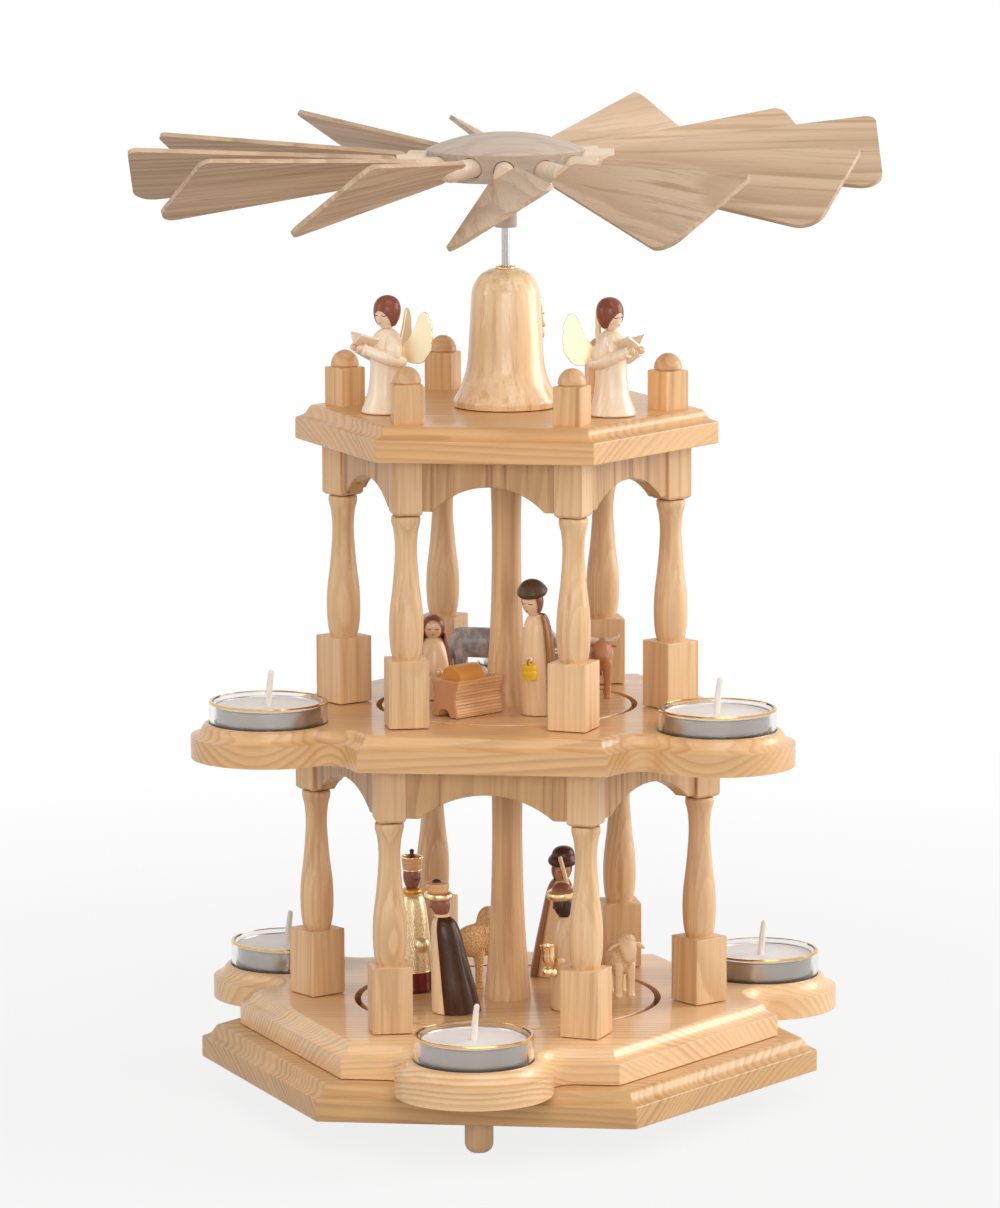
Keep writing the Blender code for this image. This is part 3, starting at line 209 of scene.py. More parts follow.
def joined(*parts):
    """Several bmeshes in one."""
    whole = bmesh.new()
    for part in parts:
        mesh = bpy.data.meshes.new("part")
        part.to_mesh(mesh)
        part.free()
        whole.from_mesh(mesh)
        bpy.data.meshes.remove(mesh)
    return whole


class Pen:
    """Draws an outline in the XY plane with lines and arcs, by extrude and spin."""

    def __init__(self, start):
        self.bm = bmesh.new()
        self.tip = self.bm.verts.new((start[0], start[1], 0))

    def line(self, *points):
        for point in points:
            made = bmesh.ops.extrude_vert_indiv(self.bm, verts=[self.tip])
            self.tip = made["verts"][0]
            self.tip.co = (point[0], point[1], 0)

    def arc(self, centre, angle, steps):
        made = bmesh.ops.spin(self.bm, geom=[self.tip], cent=(centre[0], centre[1], 0), axis=(0, 0, 1),
                              angle=math.radians(angle), steps=steps)
        self.tip = next(item for item in made["geom_last"] if isinstance(item, bmesh.types.BMVert))

    def face(self):
        bmesh.ops.remove_doubles(self.bm, verts=self.bm.verts, dist=MM / 100)
        made = bmesh.ops.contextual_create(self.bm, geom=self.bm.edges[:])["faces"][0]
        made.normal_update()
        if made.normal.z < 0:
            made.normal_flip()
        return made


def risen(bm, face, height):
    """Extrudes a face upwards and gives the new top face."""
    made = bmesh.ops.extrude_face_region(bm, geom=[face])["geom"]
    verts = [item for item in made if isinstance(item, bmesh.types.BMVert)]
    bmesh.ops.translate(bm, vec=(0, 0, height), verts=verts)
    return next(item for item in made if isinstance(item, bmesh.types.BMFace))


def plate(outline, thickness):
    """A flat plate, centred on the XY plane, from an outline."""
    face = outline.face()
    bmesh.ops.translate(outline.bm, vec=(0, 0, -thickness / 2), verts=outline.bm.verts)
    risen(outline.bm, face, thickness)
    return outline.bm


def mesh_from(bm, name):
    """A mesh with its doubles merged and its faces outwards."""
    bmesh.ops.remove_doubles(bm, verts=bm.verts, dist=MM / 500)
    bmesh.ops.recalc_face_normals(bm, faces=bm.faces)
    mesh = bpy.data.meshes.new(name)
    bm.to_mesh(mesh)
    bm.free()
    return mesh


def carved(bm, tools):
    """A bmesh cut by others, with Boolean modifiers that are applied."""
    target = bpy.data.objects.new("target", mesh_from(bm, "target"))
    helpers = [bpy.data.objects.new("tool", mesh_from(tool, "tool")) for tool in tools]
    for obj in [target] + helpers:
        bpy.context.scene.collection.objects.link(obj)
    for helper in helpers:
        boolean = target.modifiers.new("boolean", "BOOLEAN")
        boolean.operation = "DIFFERENCE"
        boolean.object = helper
    bpy.context.view_layer.update()
    made = bmesh.new()
    graph = bpy.context.evaluated_depsgraph_get()
    made.from_mesh(bpy.data.meshes.new_from_object(target.evaluated_get(graph)))
    for obj in [target] + helpers:
        bpy.data.objects.remove(obj)
    return made


def piece(name, bm, finish, body, nodes=(), bevel=0.0, thick=0.0, sharp=35, segments=2):
    """A finished piece: its mesh, finish, modifiers, body and the CAD nodes that it stands for."""
    material, slot = finish
    mesh = mesh_from(bm, name)
    mesh.materials.append(material)
    mesh.shade_smooth()
    mesh.set_sharp_from_angle(angle=math.radians(sharp))
    obj = bpy.data.objects.new(name, mesh)
    bpy.context.scene.collection.objects.link(obj)
    if thick:
        shell = obj.modifiers.new("shell", "SOLIDIFY")
        shell.thickness = thick * MM
        shell.offset = 1
        shell.use_even_offset = True
    if bevel:
        edge = obj.modifiers.new("edge", "BEVEL")
        edge.width = bevel * MM
        edge.segments = segments
        edge.limit_method = "ANGLE"
        edge.angle_limit = math.radians(sharp)
        edge.harden_normals = True
    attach(obj, body)
    if nodes:
        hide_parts(*([nodes] if isinstance(nodes, str) else nodes))
    return obj


# Finishes

class Value:
    """A shader socket that Python's operators continue with Math nodes."""

    def __init__(self, finish, socket):
        self.finish = finish
        self.socket = socket

    def math(self, operation, *others):
        return self.finish.add("ShaderNodeMath", {"operation": operation}, dict(enumerate((self, *others))))

    def __add__(self, other):
        return self.math("ADD", other)

    def __sub__(self, other):
        return self.math("SUBTRACT", other)

    def __rsub__(self, other):
        return self.finish.add("ShaderNodeMath", {"operation": "SUBTRACT"}, {0: other, 1: self})

    def __mul__(self, other):
        return self.math("MULTIPLY", other)

    def __truediv__(self, other):
        return self.math("DIVIDE", other)

    def __pow__(self, other):
        return self.math("POWER", other)

    __radd__ = __add__
    __rmul__ = __mul__

    def ramp(self, low, high, to_low=0.0, to_high=1.0):
        """A smooth rise from to_low to to_high as the value goes from low to high."""
        return self.finish.add("ShaderNodeMapRange", {"interpolation_type": "SMOOTHSTEP"},
                               {1: low, 2: high, 3: to_low, 4: to_high, 0: self})


class Finish:
    """The nodes of a material, or of the world."""

    def __init__(self, owner):
        owner.use_nodes = True
        self.owner = owner
        self.tree = owner.node_tree
        self.shader = self.tree.nodes.get("Principled BSDF")

    def put(self, socket, value):
        if isinstance(value, Value):
            self.tree.links.new(value.socket, socket)
        elif hasattr(socket.default_value, "__len__") and len(socket.default_value) == 4 and len(value) == 3:
            socket.default_value = (*value, 1)
        else:
            socket.default_value = value

    def add(self, kind, settings=None, sockets=None, out=0):
        """A node: its settings first, then the values or links of its sockets; gives one output."""
        node = self.tree.nodes.new(kind)
        for key, value in (settings or {}).items():
            setattr(node, key, value)
        for key, value in (sockets or {}).items():
            self.put(node.inputs[key], value)
        return Value(self, node.outputs[out])

    def set(self, **sockets):
        """Values or links of the Principled shader, its names with underscores."""
        for key, value in sockets.items():
            self.put(self.shader.inputs[key.replace("_", " ")], value)

    def place(self, turn=(0, 0, 0), centre=(0, 0, 0)):
        """Object coordinates in millimetres, centred and turned."""
        coords = self.add("ShaderNodeTexCoord", out="Object")
        return self.add("ShaderNodeMapping", {"vector_type": "TEXTURE"},
                        {"Vector": coords, "Location": Vector(centre) * MM,
                         "Rotation": [math.radians(angle) for angle in turn], "Scale": (MM, MM, MM)})

    def split(self, vector):
        node = self.tree.nodes.new("ShaderNodeSeparateXYZ")
        self.put(node.inputs[0], vector)
        return [Value(self, node.outputs[axis]) for axis in "XYZ"]

    def join(self, x, y, z):
        return self.add("ShaderNodeCombineXYZ", None, {0: x, 1: y, 2: z})

    def noise(self, vector, scale=1.0, detail=2.0, roughness=0.5, out=0):
        return self.add("ShaderNodeTexNoise", None, {"Vector": vector, "Scale": scale, "Detail": detail,
                                                      "Roughness": roughness}, out)

    def streaks(self, parts, across, along, detail=3.0, roughness=0.5, aside=0):
        """Noise that is stretched along the fibres, taken from a place aside."""
        x, y, z = parts
        place = self.join((x + aside if aside else x) * across, y * across, z * along)
        return self.noise(place, detail=detail, roughness=roughness)

    def mix(self, factor, first, second, blend="MIX"):
        return self.add("ShaderNodeMix", {"data_type": "RGBA", "blend_type": blend},
                        {0: factor, 6: first, 7: second}, 2)

    def toned(self, colour, tone):
        """A colour, darker or lighter by a factor."""
        return self.mix(1.0, colour, self.join(tone, tone, tone), "MULTIPLY")

    def bump(self, height, distance, strength):
        return self.add("ShaderNodeBump", None, {"Height": height, "Distance": distance * MM,
                                                  "Strength": strength})


def new_finish(name):
    """The nodes of a new material."""
    return Finish(bpy.data.materials.new(name))


def wood(name, early, late, turn=(0, 0, 0), pith=(-40, 100, 0), spacing=2.2, slot="varnished_wood",
         rings=0.65, fibres=0.2, bands=0.22, rough=0.4, coat=0.15, warp=1.6, pores=0.0, stripes=0.15):
    """Wood whose yearly rings lie round a pith line; the grain runs along the turned Z."""
    f = new_finish(name)
    grain = f.split(f.place(turn, pith))
    x, y, z = grain
    bend = f.streaks(grain, 0.012, 0.0045, 2)
    bend_too = f.streaks(grain, 0.014, 0.006, 2, aside=300)
    across = x + (bend - 0.5) * (warp * 9)
    depth = y + (bend_too - 0.5) * (warp * 9)
    radius = (across * across + depth * depth) ** 0.5 + f.streaks(grain, 0.09, 0.016) * 1.8
    uneven = f.noise(f.join(radius * 0.05, 0.0, 0.0))
    phase = (radius / spacing + uneven * 6).math("FRACT")
    line = phase.ramp(0.2, 0.86) * phase.ramp(0.88, 1.0, 1.0, 0.0)
    band = f.noise(f.join(radius * 0.06, 7.0, z * 0.002), detail=3, roughness=0.6)
    fibre = f.streaks(grain, 1.3, 0.03, roughness=0.65)
    fleck = f.streaks(grain, 3.6, 0.14, 1).ramp(0.6, 0.75)
    stripe = f.streaks(grain, 0.3, 0.004, roughness=0.62, aside=90).ramp(0.44, 0.72)
    shade = (line * rings * band.ramp(0.3, 0.7, 0.3, 1.2)).math("MAXIMUM", stripe * stripes)
    tone = 1.0 - fibres * 0.5 + fibre * fibres - (band - 0.5) * bands - fleck * (0.05 + pores)
    f.set(Base_Color=f.toned(f.mix(shade, early, late), tone), Roughness=rough - 0.06 + fibre * 0.16,
          Coat_Weight=coat, Coat_Roughness=0.12, Specular_IOR_Level=0.4,
          Normal=f.bump(fibre * 0.6 + line * 0.3 - fleck * 0.5, 0.06, 0.3))
    return f.owner, slot


def painted(name, slot, colour, rough=0.3, coat=0.6, drift=0.12, metallic=0.0, hammer=0.0, grain=0.06):
    """Stain or paint on turned wood: a little uneven, with the grain just showing."""
    f = new_finish(name)
    place = f.split(f.place())
    x, y, z = place
    cloud = f.streaks(place, 0.22, 0.12)
    streak = f.streaks(place, 2.2, 0.09, roughness=0.6)
    tone = 1.0 - drift * 0.5 - grain * 0.5 + cloud * drift + streak * grain
    height = streak * 0.4
    if hammer:
        squeezed = f.join(x, y, z * 0.6)
        dents = f.add("ShaderNodeTexVoronoi", {"feature": "F1"}, {"Vector": squeezed, "Scale": 2.0})
        # The pattern is darker where it sinks lowest: painted shade in its hollows.
        tone = tone * (1.0 - dents.ramp(0.25, 0.65) * hammer)
        height = height - dents * 1.5
    f.set(Base_Color=f.toned(colour, tone), Roughness=rough - 0.05 + cloud * 0.12, Metallic=metallic,
          Coat_Weight=coat * 0.2, Coat_Roughness=0.12, Specular_IOR_Level=0.2,
          Normal=f.bump(height, 0.08, 0.5))
    return f.owner, slot


def metal(name, slot, colour, rough=0.25, across=0.8, along=0.05):
    """Drawn or turned metal with fine lines along Z."""
    f = new_finish(name)
    place = f.split(f.place())
    lines = f.streaks(place, across, along, roughness=0.6)
    tone = 0.9 + lines * 0.12 + f.noise(f.join(*place), 0.15) * 0.06
    f.set(Base_Color=f.toned(colour, tone), Metallic=1.0, Roughness=rough - 0.06 + lines * 0.12,
          Normal=f.bump(lines, 0.02, 0.3))
    return f.owner, slot


def clear_glass(name, slot):
    """Clear pressed glass with faint waves."""
    f = new_finish(name)
    waves = f.noise(f.place(), 0.12)
    f.set(Base_Color=f.mix(waves, (0.88, 0.875, 0.87), (0.94, 0.937, 0.934)), Roughness=waves * 0.04,
          Transmission_Weight=1.0, IOR=1.46, Normal=f.bump(waves, 0.05, 0.3))
    return f.owner, slot


def wax(name, slot):
    """White candle wax, a little warmer and darker where it has set unevenly."""
    f = new_finish(name)
    place = f.place()
    cloud = f.noise(place, 0.16, detail=3)
    frost = f.noise(place, 1.4, detail=3)
    f.set(Base_Color=f.mix(cloud, (0.88, 0.84, 0.81), (0.80, 0.755, 0.73)), Roughness=0.32 + cloud * 0.2,
          Subsurface_Weight=0.15, Subsurface_Radius=(0.004, 0.003, 0.002),
          Normal=f.bump(cloud * 0.8 + frost * 0.2, 0.15, 0.4))
    return f.owner, slot


def grey_coat(name, slot):
    """The donkey's streaky grey stain."""
    f = new_finish(name)
    place = f.split(f.place())
    streak = f.streaks(place, 0.35, 0.16, 4, 0.62)
    fine = f.streaks(place, 1.6, 0.25)
    colour = f.mix(streak.ramp(0.36, 0.64), (0.25, 0.24, 0.265), (0.58, 0.52, 0.49))
    f.set(Base_Color=f.mix(fine * 0.3, colour, (0.36, 0.29, 0.25)), Roughness=0.42 + fine * 0.15,
          Coat_Weight=0.2, Normal=f.bump(fine, 0.15, 0.4))
    return f.owner, slot


def fleece(name, slot, light, dark, size, depth):
    """Short curly wool or brushed hair, carved and stained, with painted shade in the sunken hollows between
    the curls.
    """
    f = new_finish(name)
    place = f.place()
    drift = f.noise(place, 0.5, out="Color")
    warped = f.add("ShaderNodeVectorMath", {"operation": "ADD"}, {0: place, 1: drift})
    curl = f.add("ShaderNodeTexVoronoi", {"feature": "SMOOTH_F1"}, {"Vector": warped, "Scale": size})
    fine = f.noise(place, 2.5, detail=3)
    # The dark colour follows the sunken edges of each curl: painted shade in the hollows.
    curl_hollow_shade = curl.ramp(0.15, 0.75)
    f.set(Base_Color=f.mix(curl_hollow_shade, light, dark), Roughness=0.6 + fine * 0.2,
          Normal=f.bump(fine * 0.3 - curl_hollow_shade, depth, 0.8))
    return f.owner, slot


BASE_WOOD = wood("base board wood", (0.64, 0.375, 0.158), (0.41, 0.195, 0.07), (0, 90, 3), (0, 60, -150),
                 warp=0.8)
LOWER_WOOD = wood("lower deck wood", (0.86, 0.555, 0.29), (0.60, 0.32, 0.135), (0, 90, 6), (0, -140, -60),
                  warp=0.8, coat=0.4)
MIDDLE_WOOD = wood("middle deck wood", (0.74, 0.435, 0.195), (0.52, 0.25, 0.092), (0, 90, -3), (0, 70, 20),
                   warp=0.7, coat=0.5)
TOP_WOOD = wood("top deck wood", (0.75, 0.425, 0.175), (0.48, 0.22, 0.075), (0, 90, 2), (0, 40, 130), 2.8,
                warp=0.9, coat=0.4, rings=0.55)
TABLE_WOOD = wood("figure table wood", (0.74, 0.46, 0.225), (0.50, 0.26, 0.11), (0, 90, 14), (0, 160, 40),
                  5.5, rings=0.6, coat=0.6)
STRAIGHT_GRAIN = {"bands": 0.4, "fibres": 0.3}
UPRIGHT_WOOD = wood("upright wood", (0.78, 0.51, 0.275), (0.53, 0.27, 0.105), (1.2, 0.8, 0), (-90, 170, 0),
                    1.8, rings=0.5, coat=0.12, stripes=0.7, **STRAIGHT_GRAIN)
# The arch panels are darker than the other uprights: this is painted shade from the decks above them.
ARCH_PAINTED_SHADE_WOOD = wood("arch wood with painted shade", (0.64, 0.38, 0.175), (0.31, 0.14, 0.048), (1.2, 0.8, 0), (-90, 170, 0), 2.6,
                 rings=0.5, coat=0.1, stripes=0.95, **STRAIGHT_GRAIN)
SLEEVE_WOOD = wood("sleeve wood", (0.78, 0.50, 0.26), (0.52, 0.265, 0.11), (0.6, 0, 0), (90, 60, 0), 2.8,
                   rings=0.45, coat=0.12, stripes=0.85, **STRAIGHT_GRAIN)
BELL_WOOD = wood("bell wood", (0.95, 0.69, 0.41), (0.68, 0.39, 0.17), (1, 0, 0), (80, 160, 0), 3.2,
                 rings=0.22, warp=1.5, coat=0.7, bands=0.35, fibres=0.3, stripes=0.75)
POST_WOOD = wood("post wood", (0.80, 0.50, 0.245), (0.50, 0.245, 0.088), (0, 1, 0), (150, 90, 0), 2.1,
                 rings=0.4, stripes=0.85, **STRAIGHT_GRAIN)
BALL_WOOD = wood("ball wood", (0.74, 0.44, 0.215), (0.50, 0.255, 0.105), (0, 90, 30), (40, 90, 200), 2.4,
                 rings=0.5)
HUB_WOOD = wood("fan hub wood", (0.58, 0.465, 0.375), (0.40, 0.295, 0.215), (0, 90, 12), (0, 40, 260), 3.0,
                "pale_wood", rings=0.4, rough=0.55, coat=0.0, pores=0.08, stripes=0.7)
PEG_WOOD = wood("peg wood", (0.78, 0.62, 0.46), (0.62, 0.46, 0.31), (0, 90, 0), (0, 40, 300), 2.6,
                "pale_wood", rings=0.4, rough=0.5, coat=0.0)
FIGURE = {"slot": "figure_wood", "rough": 0.3}
FACE = {**FIGURE, "rings": 0.25, "fibres": 0.1, "bands": 0.1, "coat": 0.6}
FIGURE_WOOD = wood("figure wood", (0.90, 0.63, 0.37), (0.70, 0.43, 0.21), pith=(-50, 120, 0), spacing=2.0,
                   rings=0.3, fibres=0.14, bands=0.12, coat=0.3, **FIGURE)
ANGEL_WOOD = wood("angel wood", (0.96, 0.78, 0.58), (0.82, 0.60, 0.40), slot="figure_wood", rings=0.28,
                  fibres=0.14, bands=0.1, rough=0.33, coat=0.5)
ANGEL_FACE = wood("angel face wood", (0.92, 0.68, 0.46), (0.80, 0.54, 0.33), spacing=1.6, rings=0.3,
                  fibres=0.12, bands=0.12, coat=0.6, **FIGURE)
# The herdsman's face is darker than the other faces: painted shade, not a skin colour.
SHADED_FACE = wood("herdsman face wood with painted shade", (0.50, 0.26, 0.13), (0.40, 0.19, 0.09), spacing=1.4, **FACE)
FACE_WOOD = wood("face wood", (0.86, 0.58, 0.36), (0.74, 0.45, 0.25), spacing=1.2, **FACE)
CRIB_WOOD = wood("crib wood", (0.80, 0.48, 0.23), (0.54, 0.27, 0.10), (0, 90, 51.3), (0, 60, 120), 1.8,
                 "figure_wood", rings=0.6)

STAIN = "brown_stained_wood"
# The crib's end boards are darker than its sides: painted shade on the ends.
CRIB_END = painted("crib end painted shade", STAIN, (0.56, 0.27, 0.13), 0.4, 0.3, 0.2, grain=0.2)
BLANKET = painted("blanket stain", STAIN, (0.62, 0.25, 0.05), 0.35, 0.5)
HAIR = painted("hair stain", STAIN, (0.26, 0.075, 0.04), 0.28, 0.7)
BROWN = painted("brown cloak stain", STAIN, (0.33, 0.115, 0.018), 0.25, 0.8, 0.25, grain=0.15)
VEIL = painted("veil stain", STAIN, (0.24, 0.085, 0.04), 0.28, 0.7, 0.25, grain=0.15)
HERD_CLOAK = painted("herdsman cloak stain", STAIN, (0.36, 0.145, 0.04), 0.28, 0.7, 0.25, grain=0.15)
RED_BROWN = painted("red-brown stain", STAIN, (0.30, 0.10, 0.055), 0.25, 0.8, 0.25)
OX_BROWN = painted("ox stain", STAIN, (0.50, 0.225, 0.095), 0.4, 0.3, 0.25, grain=0.3)

DARK_STAIN = "dark_stained_wood"
HAT = painted("hat stain", DARK_STAIN, (0.10, 0.055, 0.026), 0.34, 0.4, 0.35)
RED_HAT = painted("red-brown hat stain", DARK_STAIN, (0.085, 0.03, 0.022), 0.3, 0.5, 0.35)
DARK_CLOAK = painted("dark cloak stain", DARK_STAIN, (0.062, 0.024, 0.010), 0.26, 0.5, 0.5, grain=0.9)
DARK_FACE = painted("dark face stain", DARK_STAIN, (0.30, 0.115, 0.07), 0.25, 0.8)
DARKEST_FACE = painted("darkest face stain", DARK_STAIN, (0.06, 0.03, 0.022), 0.2, 0.9)
RED = painted("red stain", DARK_STAIN, (0.17, 0.02, 0.018), 0.25, 0.8, 0.2)

GOLD_PAINT = "gold_painted_wood"
ORANGE_GOLD = painted("orange gold paint", GOLD_PAINT, (0.72, 0.34, 0.07), 0.28, 0.3, 0.15, 0.6)
GOLD = painted("gold paint", GOLD_PAINT, (0.90, 0.66, 0.38), 0.24, 0.2, 0.15, 0.9)
GOLD_ROBE = painted("pressed gold", GOLD_PAINT, (1.0, 0.79, 0.47), 0.3, 0.2, 0.15, 0.6, hammer=0.22)
WING_GOLD = painted("wing gold", GOLD_PAINT, (0.94, 0.80, 0.54), 0.36, 0.1, 0.1, 0.8)
YELLOW = painted("lantern yellow", GOLD_PAINT, (0.82, 0.50, 0.02), 0.4, 0.4, 0.1)

HORN = painted("horn white", "figure_wood", (0.70, 0.55, 0.40), 0.35, 0.4, 0.1)
SHEEP_SKIN = painted("sheep skin", "figure_wood", (0.96, 0.72, 0.46), 0.45, 0.2, 0.1)
GREY = grey_coat("donkey grey", "figure_wood")
CAMEL_HAIR = fleece("camel hair", "figure_wood", (0.90, 0.57, 0.27), (0.62, 0.33, 0.13), 1.7, 0.3)
SHEEP_WOOL = fleece("sheep wool", "figure_wood", (1.0, 0.76, 0.48), (0.80, 0.51, 0.26), 1.5, 0.35)

STEEL = metal("steel rod", "steel", (0.46, 0.445, 0.43))
BRASS = metal("brass bush", "brass", (0.80, 0.55, 0.22))
RIM_GOLD = metal("gold rim", "brass", (0.74, 0.44, 0.14), 0.16)
ALUMINIUM = metal("tealight aluminium", "wax_in_aluminium", (0.51, 0.465, 0.425), 0.32, 0.5, 0.1)
GLASS = clear_glass("clear glass", "clear_glass")
WAX = wax("candle wax", "wax_in_aluminium")
WICK = painted("wick cotton", "wax_in_aluminium", (0.84, 0.76, 0.66), 0.75, 0.0, 0.2, grain=0.4)


# Camera and studio

CAMERA_PLACE = (269.1, -2315.4, 548.63)
CAMERA_TURN = 6.69
CAMERA_TILT = 81.23
CAMERA_ROLL = -0.17
LENS = 186.62

camera_data = bpy.data.cameras.new("camera")
camera_data.lens = LENS
camera_data.sensor_width = 36
camera = bpy.data.objects.new("camera", camera_data)
camera.matrix_world = (Matrix.Translation(Vector(CAMERA_PLACE) * MM) @ spun(CAMERA_TURN)
                       @ spun(CAMERA_TILT, "X") @ spun(CAMERA_ROLL))
bpy.context.scene.collection.objects.link(camera)
bpy.context.scene.camera = camera
bpy.context.scene.view_settings.view_transform = "Standard"


def lamp(name, angle, distance, height, size, watts):
    """A soft rectangular light that looks at the middle of the object."""
    data = bpy.data.lights.new(name, "AREA")
    data.shape = "RECTANGLE"
    data.size, data.size_y = size
    data.energy = watts
    obj = bpy.data.objects.new(name, data)
    place = polar(distance, angle, height)
    aim = (Vector((0, 0, 0.19)) - place).to_track_quat("-Z", "Y").to_matrix().to_4x4()
    obj.matrix_world = Matrix.Translation(place) @ aim
    bpy.context.scene.collection.objects.link(obj)


lamp("right softbox", 18, 1.5, 0.6, (1.0, 0.9), 17)
lamp("left softbox", 202, 1.6, 0.7, (0.6, 1.1), 6)
lamp("front softbox", -80, 2.4, 0.75, (1.3, 0.9), 16.5)
lamp("top softbox", -60, 0.9, 1.6, (1.2, 1.2), 11.5)


def lit_for_eye(finish, strength):
    """A strength that only the camera, gloss and glass see, and not the light on the object."""
    path = finish.tree.nodes.new("ShaderNodeLightPath")
    seen = Value(finish, path.outputs["Is Camera Ray"])
    for ray in ("Is Glossy Ray", "Is Transmission Ray"):
        seen = seen.math("MAXIMUM", Value(finish, path.outputs[ray]))
    return seen * strength


def make_world():
    """A white surround for the eye, and a softer one for the light."""
    world = bpy.data.worlds.new("studio")
    bpy.context.scene.world = world
    f = Finish(world)
    background = f.tree.nodes["Background"]
    background.inputs["Color"].default_value = (1, 1, 1, 1)
    f.put(background.inputs["Strength"], 0.36 + lit_for_eye(f, 0.64))


def make_floor():
    """A wide pale floor that keeps the object's shadow."""
    bm = bmesh.new()
    bmesh.ops.create_grid(bm, x_segments=2, y_segments=2, size=12)
    floor = bpy.data.objects.new("floor", mesh_from(bm, "floor"))
    bpy.context.scene.collection.objects.link(floor)
    f = new_finish("pale floor")
    f.set(Base_Color=(0.5, 0.5, 0.5), Roughness=0.9)
    glow = f.add("ShaderNodeEmission", None, {"Color": (1, 1, 1), "Strength": 1.0})
    far = f.add("ShaderNodeVectorMath", {"operation": "LENGTH"}, {0: f.place()}, "Value")
    share = lit_for_eye(f, 1.0) * far.ramp(180, 800, 0.84, 1)
    shown = f.add("ShaderNodeMixShader", None, {0: share, 1: Value(f, f.shader.outputs[0]), 2: glow})
    f.put(f.tree.nodes["Material Output"].inputs["Surface"], shown)
    floor.data.materials.append(f.owner)


make_world()
make_floor()


# Boards and what stands on them

def rows_from(shares, radius, height, base):
    """Smooth (radius, height) rows in mm from (height share, radius share) pairs."""
    points = [(share * radius, base + level * height) for level, share in shares]
    return [(row.x, row.y) for row in smooth(points)]


def hole(radius, low, top, place=(0, 0, 0), steps=96):
    """A round cutter between two levels."""
    rows = ((0, low / MM), (radius / MM, low / MM), (radius / MM, top / MM), (0, top / MM))
    return moved(turned(rows, steps), Matrix.Translation(place))


def board_outline(corner, arms=(), reach=0.0):
    """The outline of a hexagonal board with its round arms."""
    apothem = corner * FLAT
    rise = reach - apothem - FILLET_RADIUS
    offset = math.sqrt(max((ARM_RADIUS + FILLET_RADIUS) ** 2 - rise ** 2, 0))
    meeting = math.degrees(math.atan2(offset, rise))
    pen = Pen(polar(corner, 0))
    for side in range(SIDES):
        normal = 30 + 60 * side
        turn = spun(normal)
        if normal in arms:
            pen.line(turn @ Vector((apothem, -offset, 0)))
            pen.arc(turn @ Vector((apothem + FILLET_RADIUS, -offset, 0)), meeting - 180, 8)
            pen.arc(polar(reach, normal), 2 * (180 - meeting), 56)
            pen.arc(turn @ Vector((apothem + FILLET_RADIUS, offset, 0)), meeting - 180, 8)
        pen.line(polar(corner, normal + 30))
    return pen


def board(corner, low, top, arms=(), reach=0.0, cuts=()):
    """A board with the ogee moulding round its top edge."""
    outline = board_outline(corner, arms, reach)
    face = outline.face()
    bm = outline.bm
    bmesh.ops.translate(bm, vec=(0, 0, low), verts=bm.verts)
    face = risen(bm, face, top - MOULDING_HEIGHT - low)
    before = (0.0, 1.0)
    for inset, drop in MOULDING_SHARES:
        bmesh.ops.inset_region(bm, faces=[face], thickness=(inset - before[0]) * MOULDING_WIDTH,
                               depth=(before[1] - drop) * MOULDING_HEIGHT, use_even_offset=True,
                               use_boundary=True)
        before = (inset, drop)
    return carved(bm, cuts) if cuts else bm


def recesses(arms, reach, floor, top):
    """Cutters for the recesses of the glasses."""
    return [hole(RECESS_RADIUS, floor, top + OVER, polar(reach, angle), 72) for angle in arms]


piece("base_board", board(BASE_CORNER, BASE_LOW, BASE_TOP, cuts=[hole(5.3 * MM, 18.7 * MM, 27 * MM)]),
      BASE_WOOD, "stand", "base_plate", bevel=BOARD_BEVEL)
FOOT_ROWS = ((0, 0), (3.2, 0), (4.6, 1.2), (5.3, 2.9), (5.3, 12.4), (0, 12.4))
for number, angle in enumerate(LOWER_ARMS, 1):
    piece(f"foot_{number}", moved(turned(FOOT_ROWS, 40), on_circle(92 * MM, angle)), UPRIGHT_WOOD, "stand",
          bevel=0.4)
piece("lower_board",
      board(LOWER_CORNER, LOWER_LOW, LOWER_TOP, LOWER_ARMS, LOWER_REACH,
            [hole(LOWER_OPENING, LOWER_LOW - OVER, LOWER_TOP + OVER)]
            + recesses(LOWER_ARMS, LOWER_REACH, LOWER_LOW - SEAT + 3.4 * MM, LOWER_TOP)),
      LOWER_WOOD, "stand", "lower_deck", bevel=BOARD_BEVEL)
piece("middle_board",
      board(MIDDLE_CORNER, MIDDLE_LOW, MIDDLE_TOP, MIDDLE_ARMS, MIDDLE_REACH,
            [hole(MIDDLE_OPENING, MIDDLE_LOW - OVER, MIDDLE_TOP + OVER)]
            + recesses(MIDDLE_ARMS, MIDDLE_REACH, MIDDLE_LOW + 2.2 * MM, MIDDLE_TOP)),
      MIDDLE_WOOD, "stand", "middle_deck", bevel=BOARD_BEVEL)
piece("top_board", board(TOP_CORNER, TOP_LOW, TOP_TOP, cuts=[hole(4 * MM, TOP_LOW - OVER, TOP_TOP + OVER)]),
      TOP_WOOD, "stand", "top_deck", bevel=BOARD_BEVEL)

